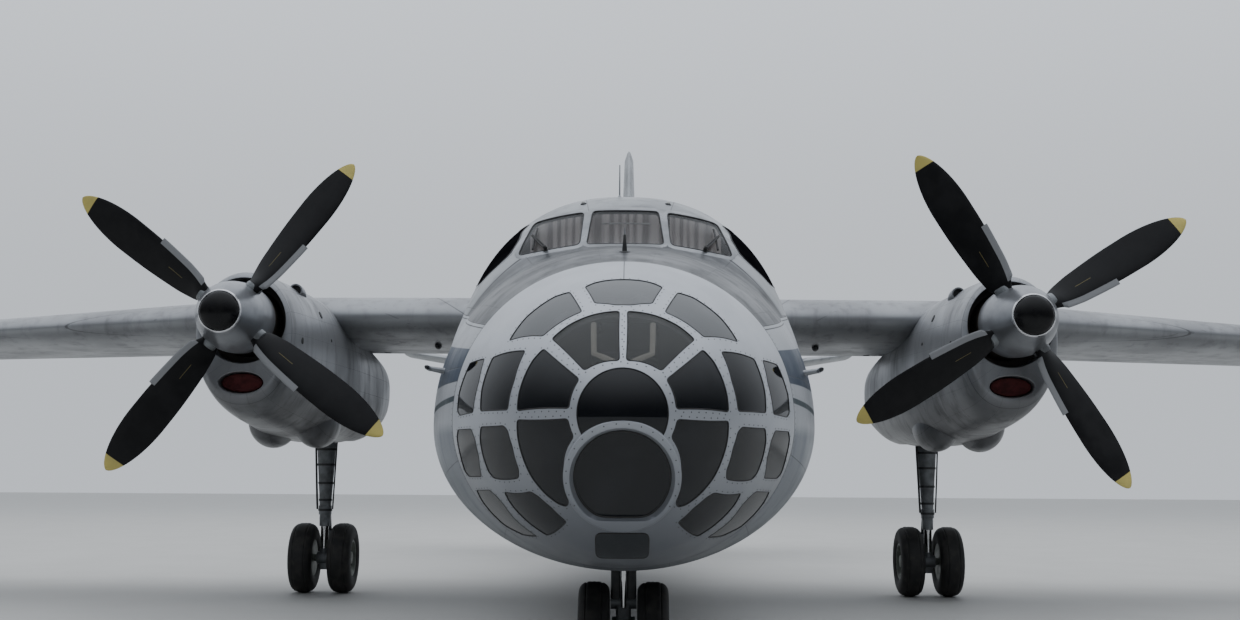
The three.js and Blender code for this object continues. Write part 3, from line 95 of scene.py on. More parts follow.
# Windows of the nose's left side: corners as stations and clock angles in degrees, 0 at the level of
# the nose axis and 90 at the top. Mirrored, they make the right side too.
NOSE_WINDOWS = {
    "first_high": [(0.316, 46.9), (0.323, 59), (0.322, 71), (0.316, 87.8), (0.074, 86.2), (0.088, 48.2)],
    "first_middle": [(0.309, 39.7), (0.081, 38.3), (0.076, 5.5), (0.32, 2.2), (0.325, 12.1), (0.323, 31.2)],
    "first_low": [
        (0.32, -2.7), (0.079, -5.4), (0.076, -25.5), (0.12, -33), (0.167, -41.2), (0.22, -49.6),
        (0.301, -58.8), (0.334, -59.3), (0.351, -54.7), (0.355, -46.5), (0.352, -34.8), (0.34, -23.8),
        (0.331, -12.1)],
    "second_high": [(0.618, 34), (0.379, 44.7), (0.373, 68.3), (0.634, 67.2), (0.667, 60.9), (0.658, 46.3)],
    "second_middle": [(0.695, 24.9), (0.415, 33.7), (0.385, 17.9), (0.392, 2.7), (0.672, 2.3), (0.694, 11.3)],
    "second_low": [
        (0.666, -4.1), (0.427, -4.9), (0.397, -7.6), (0.386, -16.2), (0.406, -27.9), (0.439, -31.3),
        (0.678, -26), (0.704, -23), (0.704, -15.9), (0.696, -9.1)],
    "second_foot": [
        (0.64, -33), (0.424, -40), (0.404, -44.3), (0.401, -52.4), (0.431, -62.6), (0.663, -58.3),
        (0.672, -50.9), (0.672, -42.9), (0.665, -38)],
    "third_middle": [
        (0.8, 23.6), (1.019, 20.6), (1.074, 9.2), (1.061, 2.6), (1.005, 1.1), (0.774, 1.9), (0.758, 14.2)],
    "third_low": [
        (1.049, -4.2), (0.803, -4.5), (0.763, -8.9), (0.762, -16), (0.835, -24.2), (1.072, -23.2),
        (1.115, -21), (1.093, -13.6), (1.088, -7.2)],
    "third_foot": [
        (1.068, -29), (0.822, -30.2), (0.778, -33.3), (0.76, -37.7), (0.794, -44.9), (0.789, -56.1),
        (0.987, -52.6), (1.125, -46), (1.13, -39.8), (1.115, -33.6)],
}
TOP_NOSE_WINDOW = [
    (0.633, 106.1), (0.663, 102.1), (0.676, 96.9), (0.676, 83.1), (0.663, 77.9), (0.633, 73.9),
    (0.412, 75.8), (0.367, 86), (0.367, 94), (0.412, 104.2)]
# Corner radius of the nose windows, and the plate under the sight window: half its width, lower and
# upper edge, corner radius
NOSE_CORNER = 0.022
UNDER_PLATE = {"half": 0.16, "low": 1.045, "high": 1.203, "corner": 0.04}
# Sight window under the tip: station and height of its centre, its axis' tilt below level, the
# radii of its glass and of its raised ring, how far the ring sits above the glass's centre, and how
# far below that centre the glass ends flat
SIGHT = {
    "station": 0.131, "z": 1.523, "tilt": 20, "radius": 0.284, "ring": 0.34, "lift": 0.016, "chord": 0.253}
# Curved strut behind the first panes: x, station and z of its points
NOSE_STRUT = [
    (0.178, 0.36, 2.45), (0.176, 0.3, 2.36), (0.172, 0.24, 2.262), (0.12, 0.22, 2.24), (0.056, 0.2, 2.212)]

# Cockpit windows: corners of the front panes as x and z, of the side pane as station and z
WINDSHIELD = [(-0.3, 3.314), (0.3, 3.314), (0.262, 3.648), (-0.262, 3.648)]
FRONT_PANE = [(0.352, 3.312), (0.842, 3.248), (0.748, 3.602), (0.33, 3.64)]
SIDE_PANE = [(3.14, 3.16), (3.3, 3.065), (4.48, 3.12), (4.48, 3.6), (3.76, 3.62), (3.36, 3.44), (3.13, 3.28)]
# Windows by kind: the depths between which the skin is cut and the glass lies, and the width, the
# height and the distance from the outline of the frame and of the seal
GLAZING = {
    "nose": {"cut": (-0.06, 0.09), "glass": (0.002, 0.01), "seal": (0.009, 0.0022)},
    "front": {"cut": (-0.1, 0.2), "glass": (0.004, 0.016), "frame": (0.036, 0.0025, 0.02),
              "seal": (0.008, 0.004)},
    "side": {"cut": (-0.1, 0.2), "glass": (-0.003, 0.012), "frame": (0.03, 0.002, 0.017),
             "seal": (0.01, 0.006)},
    "cabin": {"cut": (-0.05, 0.15), "rear_cut": (-0.05, 0.12), "glass": (0.012, 0.02),
              "frame": (0.022, 0.007, 0.006)},
}
# How far glass reaches beyond its outline (less than zero, as it ends inside), how far the side panes
# bulge, and the nose frame's screws: distance from the window, spacing, radius and height
PANE_FIT = -0.001
SIDE_BULGE = 0.008
SCREW = {"beside": 0.021, "spacing": 0.055, "radius": 0.0042, "height": 0.0016}
# Round cabin windows, with the stations of those on each side
CABIN_WINDOW = {
    "radius": 0.17, "z": 2.68,
    "left": (5.35, 7.1, 8.2, 12.9, 13.6, 16.4), "right": (5.35, 8.9, 12.9, 13.6, 16.4)}

# Doors: first and last station, lower and upper edge, gap round the leaf, and the leaf's thickness.
# Each hinge of the freight door has a middle knuckle at a station and one on either side, a pitch away.
CARGO_DOOR = {"start": 6.9, "end": 8.1, "low": 1.5, "high": 2.85, "gap": 0.009, "thick": 0.06}
ENTRY_DOOR = {"start": 14.9, "end": 15.65, "low": 1.56, "high": 2.96, "gap": 0.005, "thick": 0.048}
DOOR_HINGE = {"stations": (7.1, 7.9), "pitch": 0.061}
# Camera panels: half their width, half their square port, and the gap round them
CAMERA_PANEL = {"half": 0.42, "port": 0.15, "gap": 0.001}
# The camera panels in a row: letter, first station, station of its square port, last station
CAMERA_ROW = [
    ("a", 9.3, 9.7, 9.95), ("b", 9.95, 10.2, 10.45), ("c", 10.45, 10.7, 10.95),
    ("d", 10.95, 11.2, 11.425), ("e", 11.425, 11.65, 11.9),
]

# Paint of the fuselage: heights at the nose joint and what each metre aft adds to them. The sheets
# have a step, the wide stripe lies over a level foot, and the thin one falls over its first metre.
STEP = {"z": 2.525, "rise": 0.14}
WIDE_STRIPE = {"foot": 2.15, "top": 2.363, "rise": 0.1, "highest": 2.5}
THIN_STRIPE = {"foot": 2.02, "top": 2.058, "fall": 0.045}
# Hoops over the deck, each with its first and last station, and the colours of stripes and seams
HOOPS = ((2.155, 2.171), (2.95, 2.966))
DARK_BLUE, BLACK_BLUE, SEAM = (0.012, 0.034, 0.07), (0.004, 0.026, 0.036), (0.012, 0.012, 0.014)

# Where the outer wings join the centre section
JOINT_X = 4.3
# Lifting surfaces: position along the span, station and height of the leading edge, chord, and
# thickness as a share of it. A standing one spans upwards.
WING = {"incidence": 3, "camber": 0.02, "standing": False, "rows": [
    (0, 9.15, 3.42, 3.45, 0.18), (JOINT_X, 9.15, 3.42, 3.45, 0.17), (9.45, 10.058, 3.204, 2.275, 0.145),
    (14.25, 10.905, 3.003, 1.18, 0.13), (HALF_SPAN, 11.11, 2.99, 0.76, 0.1)]}
TAILPLANE = {"incidence": 0, "camber": 0, "standing": False, "rows": [
    (0, 20.38, 3.27, 2.82, 0.12), (4.44, 21.475, 3.973, 1.37, 0.1), (4.54, 21.6, 3.989, 1.12, 0.07)]}
FIN = {"incidence": 0, "camber": 0, "standing": True, "rows": [
    (3.3, 19.13, 0, 4.72, 0.11), (8.14, 22.19, 0, 1.86, 0.1), (FIN_TOP, 22.42, 0, 1.48, 0.06)]}
DORSAL = {"incidence": 0, "camber": 0, "standing": True, "rows": [
    (3.3, 15.2, 0, 6.4, 0.045), (3.76, 16.6, 0, 5, 0.04), (4.65, 19.7, 0, 2.4, 0.03)]}
VENTRAL = {"incidence": 0, "camber": 0, "standing": True, "rows": [
    (1.93, 19.9, 0, 1.5, 0.06), (2.9, 18.5, 0, 3.6, 0.06)]}
# Hinged parts: first and last place along the span, the hinge's share of the chord, the gap round
# their nose, and the room at each end of their cove
INNER_FLAP = {"start": 1.51, "end": 3.262, "hinge": 0.74, "gap": 0.009, "margin": 0.014}
OUTER_FLAP = {"start": 4.66, "end": 9.33, "hinge": 0.74, "gap": 0.009, "margin": 0.026}
AILERON = {"start": 9.4, "end": 14.22, "hinge": 0.745, "gap": 0.009, "margin": 0.02}
ELEVATOR = {"start": 0.76, "end": 4.38, "hinge": 0.66, "gap": 0.009, "margin": 0.046}
RUDDER = {"start": 3.96, "end": 8.18, "hinge": 0.665, "gap": 0.012, "margin": 0.025}
# Share of the chord at which the sections end, so that their trailing edge is a little blunt
TRAILING = 0.995

# Engine pods
COWL = {"end": 8.6, "wall": 0.04, "mouth": 0.438, "z": 3.11}
OIL_COOLER = {"z": 2.468, "half": 0.225, "height": 0.108}
BULGE = {"x": 0.262, "station": 9.35, "z": 2.15, "radii": (0.25, 0.69, 0.308)}
GEAR_BAY = {"half": 0.3, "start": 10.95, "end": 12.25, "top": 2.62}
EXHAUST = {"x": (0.56, 0.8), "station": (10.7, 11.6), "z": (2.7, 2.68), "radii": (0.095, 0.15)}

# Propellers: rest angle of the first blade seen from the front, anticlockwise from +X, in degrees
PROPELLER = {"station": 6.3, "radius": 1.95}
BLADE_ANGLE = {"left": 31.6, "right": 52.4}
# Blade sections: radius, chord, thickness, pitch in degrees
BLADE = [
    (0.1, 0.13, 0.13, 50), (0.33, 0.19, 0.115, 47), (0.41, 0.27, 0.085, 39),
    (0.52, 0.305, 0.06, 33), (0.64, 0.335, 0.052, 29.5),
    (1.15, 0.385, 0.036, 23), (1.7, 0.386, 0.024, 18), (PROPELLER["radius"], 0.387, 0.01, 15),
]
# Rubber boot on the inner blade: its first and last radius, and how far it widens the leading edge
BOOT = {"start": 0.41, "end": 1.0, "width": 0.03}
# Radii of the painted mark and of the yellow tip, and the stations where the spinner's polish ends
BLADE_MARK = (0.62, 0.8)
YELLOW_TIP = (1.812, 1.818)
POLISH_END = (5.861, 5.866)
# Spinner, from its back to its front: station and radius. A dome closes its front.
SPINNER = [
    (6.69, 0.352), (6.48, 0.362), (6.3, 0.35), (6.15, 0.322), (6, 0.272), (5.9, 0.23), (5.86, 0.212),
    (5.85, 0.206)]
DOME = {"station": 5.854, "radius": 0.194, "height": 0.084}

# Landing gear: place and size of each leg's twin wheels, half the distance between the twins, and
# the axle's radius
MAIN = {
    "station": 11.25, "z": 0.45, "radius": 0.45, "width": 0.3, "rim": 0.225, "spacing": 0.252, "axle": 0.045}
NOSE = {
    "station": 3.6, "z": 0.35, "radius": 0.35, "width": 0.25, "rim": 0.17, "spacing": 0.235, "axle": 0.036}

SIDES = (("left", 1), ("right", -1))

# Small things on the skin. Lengths from the centre line are the left side's.
WIPER = {"pivot": (0.614, 3.274), "joint": (0.723, 3.405), "blade": ((0.697, 3.49), (0.716, 3.284))}
MAST = {"station": 1.62, "z": 3.07, "height": 0.172}
WHIP = {"x": -0.055, "station": 4.1, "top": 4.2}
ROOF_LAMP = {"station": 3.57, "clock": 78.8}
PROBE = {"station": 1.87, "z": 2.26, "reach": 0.1, "length": 0.19}
DRAIN = {"x": 2.33, "station": 9.9, "radii": (0.04, 0.11, 0.045)}
COWL_SCOOP = {"start": 7.72, "end": 8.02, "clock": 56, "half": 0.074, "height": 0.07}
# Round vents of a cowl: station, clock angle in degrees, radius
COWL_HOLES = [(8.248, 31.7, 0.042), (7.19, -1.3, 0.036), (8.5, 10.7, 0.018)]

# Seats: half their width, the pan's height over the floor, the back's over the pan, and how far the
# pan reaches ahead of the seat's station. Rails lie at these distances from the seat's middle.
SEAT = {"half": 0.235, "pan": 0.43, "back": 0.65, "depth": 0.235}
PILOT_SEAT = {"x": 0.44, "station": 4.25, "floor": 2.31, "rails": (-0.09, 0.09), "frame": "pilot_seat_frames"}
NAVIGATOR_SEAT = {"x": 0.0, "station": 2.15, "floor": 1.22, "rails": (), "frame": "navigator_seat_frame"}
# Floor of the nose, dials of the instrument panel, and curtains on a rail behind the windshield
NOSE_DECK = {"start": 1.24, "end": 2.88, "low": 1.185, "high": 1.228}
DIALS = {
    "station": 3.084, "radius": 0.042, "rows": (2.86, 2.97, 3.08), "columns": (0.34, 0.44, 0.54, 0.64, 0.74)}
# The rail sweeps aft and falls with x squared, and its length is twice "rail". Spans are in x.
CURTAINS = {
    "station": 3.4, "sweep": 0.68, "top": 3.706, "fall": 0.14, "rail": 0.81, "length": 0.46, "pleat": 0.085,
    "thick": 0.0012, "spans": {"middle": (-0.33, 0.33), "left": (0.36, 0.8), "right": (-0.8, -0.36)}}

# Studio lamp, and the camera's place, pitch up, yaw to the left and roll in degrees, and its focal
# length on a 36 mm sensor
LAMP = {"place": (0, 9, 24), "width": 60, "depth": 40, "power": 7000}
CAMERA = {"x": 0.04, "station": -8.6, "z": 1.55, "pitch": 6.27, "yaw": 0.35, "roll": 0.35, "lens": 43.55}


class Value:
    """A number socket that joins in Python sums: each operator adds its Math node."""

    def __init__(self, nodes, socket):
        self.nodes = nodes
        self.socket = socket

    def math(self, operation, *others):
        return self.nodes.node("ShaderNodeMath", {"operation": operation}, [self, *others])

    def __add__(self, other):
        return self.math("ADD", other)

    def __sub__(self, other):
        return self.math("SUBTRACT", other)

    def __rsub__(self, other):
        return self.nodes.node("ShaderNodeMath", {"operation": "SUBTRACT"}, [other, self])

    def __mul__(self, other):
        return self.math("MULTIPLY", other)

    def __truediv__(self, other):
        return self.math("DIVIDE", other)

    def __mod__(self, other):
        return self.math("FLOORED_MODULO", other)

    def __pow__(self, other):
        return self.math("POWER", other)

    def __abs__(self):
        return self.math("ABSOLUTE")

    __radd__ = __add__
    __rmul__ = __mul__


class Nodes:
    """A node tree that is filled node by node."""

    def __init__(self, tree):
        self.tree = tree

    def node(self, kind, settings=None, inputs=(), output=0):
        """Adds a node: its settings first, then the values or links of its sockets, by name or place."""
        node = self.tree.nodes.new(kind)
        for key, value in (settings or {}).items():
            setattr(node, key, value)
        pairs = inputs.items() if isinstance(inputs, dict) else enumerate(inputs)
        for key, value in pairs:
            self.feed(node.inputs[key], value)
        return Value(self, node.outputs[output])

    def feed(self, socket, value):
        if isinstance(value, Value):
            self.tree.links.new(value.socket, socket)
        elif hasattr(value, "__len__") and len(socket.default_value) == 4:
            socket.default_value = (*value[:3], 1)
        else:
            socket.default_value = value

    def rise(self, value, low, high):
        """0 below low, 1 above high and smooth between."""
        settings = {"interpolation_type": "SMOOTHSTEP"}
        return self.node("ShaderNodeMapRange", settings, {"Value": value, "From Min": low, "From Max": high})

    def band(self, value, low, high, soft=0.003):
        """1 between low and high."""
        return self.rise(value, low - soft, low + soft) * (1 - self.rise(value, high - soft, high + soft))

    def lines(self, value, spacing, width):
        """Thin lines at every multiple of a spacing."""
        distance = abs((value / spacing + 0.5) % 1 - 0.5) * spacing
        return 1 - self.rise(distance, width * 0.35, width * 0.65)

    def parts(self, place):
        """The three numbers of a vector."""
        return [self.node("ShaderNodeSeparateXYZ", {}, [place], k) for k in range(3)]


class Finish(Nodes):
    """A node-based material. Its patterns come from the piece's own coordinates."""

    def __init__(self, name, colour, roughness, **constants):
        self.material = bpy.data.materials.new(name)
        self.material.use_nodes = True
        super().__init__(self.material.node_tree)
        self.shader = self.tree.nodes["Principled BSDF"]
        self.shade("Base Color", colour)
        self.shade("Roughness", roughness)
        for socket, value in constants.items():
            self.shade(socket.replace("_", " ").title().replace("Ior", "IOR"), value)
        self.place = self.node("ShaderNodeTexCoord", output="Object")
        self.x, self.y, self.z = self.parts(self.place)
        self.station = self.y - NOSE_Y

    def shade(self, socket, value):
        self.feed(self.shader.inputs[socket], value)

    def dots(self, along, across, steps, radius):
        """Round dots on a rectangular raster."""
        a = ((along / steps[0]) % 1 - 0.5) * steps[0]
        b = ((across / steps[1]) % 1 - 0.5) * steps[1]
        return 1 - self.rise((a * a + b * b) ** 0.5, radius * 0.6, radius)

    def noise(self, scale, detail=4.0, stretch=(1, 1, 1), roughness=0.55):
        """Cloudy value round 0.5, drawn out along each axis where stretch is small."""
        place = self.node("ShaderNodeVectorMath", {"operation": "MULTIPLY"}, [self.place, stretch])
        inputs = {"Vector": place, "Scale": scale, "Detail": detail, "Roughness": roughness}
        return self.node("ShaderNodeTexNoise", {}, inputs)

    def mix(self, mask, first, second):
        """The first colour where the mask is 0, the second where it is 1."""
        return self.node("ShaderNodeMix", {"data_type": "RGBA"}, {0: mask, 6: first, 7: second}, 2)

    def bump(self, height, distance, strength=1.0):
        inputs = {"Height": height, "Distance": distance, "Strength": strength}
        self.shade("Normal", self.node("ShaderNodeBump", {}, inputs))

    def attribute(self, name):
        return self.node("ShaderNodeAttribute", {"attribute_name": name}, output="Fac")


def add_livery_and_belly_shade(finish, shade, cloud, arc):
    """The fuselage's marks over its metal, aft of the nose joint: a scoured deck above a step in the
    sheets, a bright flank, a dull belly that painted shade darkens further towards the bottom, a
    wide and a thin stripe, and dark joints and studs."""
    joint = NOSE_FRAME["end"]
    fore = finish.station - joint
    body = finish.rise(finish.station, joint, joint + 0.006)
    over_step = finish.z - (fore * STEP["rise"] + STEP["z"])
    above = finish.rise(over_step, -0.002, 0.002)
    deck = body * above * (1 - finish.rise(finish.station, 2.9, 3.0))
    scour = finish.rise(finish.noise(3.2, 6, (1, 0.45, 1)), 0.3, 0.66)
    rubbed = finish.rise(finish.noise(5, 3, (0.05, 3, 0.05)), 0.35, 0.65)
    worn_metal = finish.mix(scour, (0.12, 0.124, 0.132), (0.03, 0.032, 0.036))
    shade = finish.mix(deck * (0.8 + rubbed * 0.2), shade, worn_metal)
    flank = body * (1 - above) * (1 - finish.rise(finish.station, 3, 5))
    shade = finish.mix(flank * 0.6, shade, (0.52, 0.54, 0.57))
    edges = finish.band(over_step, -0.007, 0.0, 0.001) + finish.band(over_step, -0.03, -0.023, 0.001)
    ahead = 1 - finish.rise(finish.station, 5.5, 6)
    shade = finish.mix(edges * body * ahead, shade, (0.02, 0.02, 0.025))
    shade = finish.mix((1 - finish.rise(finish.z, 1.8, 1.9)) * 0.7, shade, (0.13, 0.15, 0.18))
    # Painted shade: the belly darkens further towards the bottom, where shade falls
    shade = finish.mix((1 - finish.rise(finish.z, 0.85, 1.5)) * 0.7, shade, (0.045, 0.05, 0.058))
    foot, top, rise, highest = WIDE_STRIPE.values()
    top = (fore * rise + top).math("MINIMUM", highest)
    soft = 0.003
    wide = finish.rise(finish.z, foot - soft, foot + soft) * (1 - finish.rise(finish.z - top, -soft, soft))
    foot, top, fall = THIN_STRIPE.values()
    thin = finish.band(finish.z + fore.math("MINIMUM", 1) * fall, foot, top)
    paint = (0.86 + cloud * 0.14) * body
    shade = finish.mix(wide * paint, shade, DARK_BLUE)
    shade = finish.mix(thin * paint, shade, BLACK_BLUE)
    # Two hoops over the deck, which lean forwards below their crowns
    hoop = finish.station - (finish.z - 3.2).math("MINIMUM", 0) * 0.12
    hoops = finish.band(hoop, *HOOPS[0]) + finish.band(hoop, *HOOPS[1])
    seams = finish.band(finish.station, 1.172, 1.181, 0.002) + hoops * above
    shade = finish.mix(seams.math("MINIMUM", 1) * 0.9, shade, SEAM)
    studs = finish.dots(finish.station, arc, (0.8, 0.045), 0.008) * finish.band(finish.station, 1.15, 1.25)
    return finish.mix(studs * 0.6, shade, (0.02, 0.02, 0.022))


def skin_finish(name, colour, dirt, roughness, livery_and_belly_shade=False, centre=(0, 2.2), grid=(0.62, 0.9), painted_shade=None):
    """Riveted sheet metal: cloudy oxide, streaks down and aft, panel joints on a raster of arc length
    and station, and rows of rivets between them. Painted shade darkens the metal below a height."""
    finish = Finish(name, colour, roughness, metallic=0.62, specular_ior_level=0.5)
    arc = (finish.z - centre[1]).math("ARCTAN2", finish.x - centre[0]) * 1.4
    cloud = finish.rise(finish.noise(1.3, 6), 0.36, 0.68)
    streak = finish.rise(finish.noise(7, 5, (1, 0.9, 0.16)), 0.48, 0.72)
    shade = finish.mix(cloud * 0.4 + streak * 0.38, colour, dirt)
    if livery_and_belly_shade:
        shade = add_livery_and_belly_shade(finish, shade, cloud, arc)
    # Painted shade: below the given heights the metal darkens, where shade falls underneath
    if painted_shade:
        shade = finish.mix((1 - finish.rise(finish.z, *painted_shade)) * 0.55, shade, (0.07, 0.068, 0.066))
    across, along = grid
    joints = finish.lines(finish.station, along, 0.007).math("MAXIMUM", finish.lines(arc, across, 0.007))
    rivets = finish.dots(arc, finish.station, (0.035, along / 2), 0.0045).math(
        "MAXIMUM", finish.dots(arc, finish.station, (across / 2, 0.035), 0.0045))
    shade = finish.mix(joints * 0.55, shade, (0.05, 0.05, 0.055))
    finish.shade("Base Color", finish.mix(rivets * 0.3, shade, (0.08, 0.08, 0.085)))
    finish.shade("Roughness", roughness + cloud * 0.12 + streak * 0.1)
    finish.bump(finish.noise(2.4, 2) * 0.35 - joints * 0.5 + rivets * 0.12, 0.006, 0.55)
    return finish.material


def nose_finish():
    """Light satin paint over the nose frame, darkened towards the belly by painted shade."""
    finish = Finish("nose_paint", (0.6, 0.62, 0.64), 0.3, metallic=0.45)
    cloud = finish.rise(finish.noise(2.1, 6), 0.35, 0.7)
    # Painted shade: the paint darkens towards the belly, where shade falls
    painted_shade = (1 - finish.rise(finish.z, 0.9, 2.2)) * 0.85
    shade = finish.mix(cloud * 0.3, (0.5, 0.52, 0.555), (0.36, 0.38, 0.41))
    shade = finish.mix(painted_shade, shade, (0.085, 0.092, 0.107))
    crown = finish.band(finish.x, -0.003, 0.003, 0.001) * finish.rise(finish.z, 2.74, 2.76)
    finish.shade("Base Color", finish.mix(crown * 0.9, shade, SEAM))
    finish.shade("Roughness", 0.3 + cloud * 0.12)
    finish.bump(finish.noise(3, 2), 0.004, 0.4)
    return finish.material


def plain_finish(name, colour, patch, roughness, scale, grain, **constants):
    """Paint or moulded stuff with cloudy colour, uneven gloss and a fine grain."""
    finish = Finish(name, colour, roughness, **constants)
    cloud = finish.rise(finish.noise(scale, 6), 0.32, 0.7)
    finish.shade("Base Color", finish.mix(cloud, colour, patch))
    finish.shade("Roughness", roughness + (cloud - 0.5) * 0.14)
    finish.bump(finish.noise(scale * 9, 3), grain, 0.5)
    return finish.material


def glass_finish(name, colour, alpha, gloss):
    """Dark glazing with a thin film of dust that dulls its gloss in patches."""
    finish = Finish(name, colour, 0.03, specular_ior_level=gloss, ior=1.5)
    dust = finish.rise(finish.noise(3.5, 6), 0.45, 0.8)
    finish.shade("Base Color", finish.mix(dust * 0.5, colour, tuple(c * 2.2 + 0.01 for c in colour)))
    finish.shade("Roughness", 0.025 + dust * 0.05)
    finish.shade("Alpha", alpha)
    return finish.material


def blade_finish():
    """Black blades: yellow tips, a grey rubber boot along the inner leading edge, and chips near it."""
    finish = Finish("blade_paint", (0.008, 0.008, 0.009), 0.5, specular_ior_level=0.2)
    radius, chord = finish.attribute("blade_radius"), finish.attribute("chord_share")
    cloud = finish.rise(finish.noise(5, 6), 0.35, 0.7)
    shade = finish.mix(cloud, (0.006, 0.006, 0.007), (0.013, 0.013, 0.014))
    boot = finish.band(radius, 0.4, BOOT["end"], 0.002) * (1 - finish.rise(chord, 0.085, 0.09))
    shade = finish.mix(boot, shade, (0.27, 0.275, 0.285))
    mark = finish.band(radius, *BLADE_MARK, 0.002) * finish.band(chord, 0.463, 0.475, 0.002)
    shade = finish.mix(mark * 0.7, shade, (0.32, 0.27, 0.11))
    tip = finish.rise(radius, *YELLOW_TIP)
    shade = finish.mix(tip, shade, finish.mix(cloud, (0.62, 0.52, 0.16), (0.5, 0.43, 0.15)))
    finish.shade("Base Color", shade)
    finish.shade("Roughness", 0.46 + cloud * 0.14 + boot * 0.12)
    finish.bump(boot * 0.5 + finish.noise(40, 2) * 0.2, 0.002, 0.5)
    return finish.material


def spinner_finish():
    """Satin spinner with a polished rim round its dome and grease thrown back from it."""
    finish = Finish("spinner_skin", (0.5, 0.51, 0.53), 0.3, metallic=0.75)
    cloud = finish.rise(finish.noise(4, 6), 0.35, 0.7)
    polish = 1 - finish.rise(finish.station, *POLISH_END)
    shade = finish.mix(cloud * 0.5, (0.32, 0.33, 0.35), (0.2, 0.205, 0.22))
    finish.shade("Base Color", finish.mix(polish, shade, (0.8, 0.8, 0.82)))
    finish.shade("Roughness", 0.3 + cloud * 0.12 - polish * 0.18)
    finish.bump(finish.noise(5, 2), 0.002, 0.4)
    return finish.material


def tyre_finish():
    """Worn rubber, dusty on its running face and scuffed round its shoulder."""
    finish = Finish("tyre_rubber", (0.012, 0.012, 0.012), 0.75)
    dust = finish.rise(finish.noise(9, 6), 0.42, 0.72)
    low = 1 - finish.rise(finish.z, 0, 0.25)
    shade = finish.mix(dust * 0.6 + low * 0.25, (0.014, 0.014, 0.014), (0.062, 0.058, 0.053))
    finish.shade("Base Color", shade)
    finish.shade("Roughness", 0.66 + dust * 0.2)
    finish.bump(finish.noise(70, 3), 0.002, 0.5)
    return finish.material


def fabric_finish(name, colour, dark):
    """Woven cloth: crossed threads on the object's own coordinates, faded in patches."""
    finish = Finish(name, colour, 0.9)
    finish.shade("Sheen Weight", 0.4)
    weave = finish.lines(finish.x, 0.006, 0.003).math("MAXIMUM", finish.lines(finish.z, 0.006, 0.003))
    fade = finish.rise(finish.noise(4, 5), 0.35, 0.7)
    finish.shade("Base Color", finish.mix(fade * 0.6 + weave * 0.2, colour, dark))
    finish.bump(weave * 0.6 + finish.noise(30, 2) * 0.4, 0.0006, 0.4)
    return finish.material


def curtain_finish():
    """Cotton with painted light: a faint glow in its own colour stands for daylight behind it, and
    painted light and shade make it pale on the pleats' ridges and dark in their valleys.
    """
    finish = Finish("curtain_cloth", (0.6, 0.57, 0.55), 0.85, emission_strength=0.2)
    ridge = finish.attribute("ridge") + (finish.noise(14, 4, (1, 1, 0.12)) - 0.5) * 1.9
    shade = finish.mix(finish.rise(ridge, -0.1, 1.1), (0.24, 0.22, 0.225), (0.66, 0.63, 0.64))
    finish.shade("Base Color", shade)
    # Painted light: the cloth glows faintly in its own colour, as if daylight shone through it
    finish.shade("Emission Color", shade)
    finish.bump(finish.noise(120, 2), 0.0004, 0.4)
    return finish.material


def floor_finish():
    """Pale studio floor with a faint mottling."""
    finish = Finish("studio_floor", (0.38, 0.38, 0.37), 0.7)
    cloud = finish.rise(finish.noise(0.8, 5), 0.3, 0.7)
    finish.shade("Base Color", finish.mix(cloud, (0.37, 0.37, 0.36), (0.4, 0.4, 0.39)))
    finish.shade("Roughness", 0.66 + cloud * 0.06)
    return finish.material


SILVER = (0.36, 0.375, 0.39)
OXIDE = (0.2, 0.205, 0.215)
FINISHES = {
    "nose": nose_finish(),
    "skin": skin_finish("fuselage_metal", SILVER, OXIDE, 0.34, livery_and_belly_shade=True),
    "wing": skin_finish("wing_metal", (0.33, 0.34, 0.355), (0.19, 0.19, 0.2), 0.38, grid=(0.9, 0.8)),
    "tail": skin_finish("tail_metal", SILVER, OXIDE, 0.38),
    "glass": glass_finish("window_glass", (0.005, 0.006, 0.008), 0.92, 0.55),
    # The upper glass's paler colour is a painted reflection of the sky
    "upper_glass": glass_finish("upper_glass", (0.06, 0.064, 0.068), 0.96, 1.0),
    "clear_glass": glass_finish("clear_glass", (0.012, 0.013, 0.011), 0.5, 0.9),
    "cockpit_glass": glass_finish("windshield_glass", (0.02, 0.022, 0.024), 0.25, 0.8),
    "blade": blade_finish(),
    "spinner": spinner_finish(),
    "tyre": tyre_finish(),
    "seat": fabric_finish("seat_cloth", (0.03, 0.045, 0.06), (0.07, 0.08, 0.09)),
    "curtain": curtain_finish(),
    "floor": floor_finish(),
}
# Each pod's metal is darkened below a height by painted shade
for pod_name, pod_side in SIDES:
    FINISHES[f"pod_{pod_name}"] = skin_finish(
        f"pod_metal_{pod_name}", (0.33, 0.34, 0.36), (0.16, 0.16, 0.165), 0.33,
        centre=(pod_side * NACELLE_X, 2.8), grid=(0.5, 0.62), painted_shade=(2.1, 2.8))
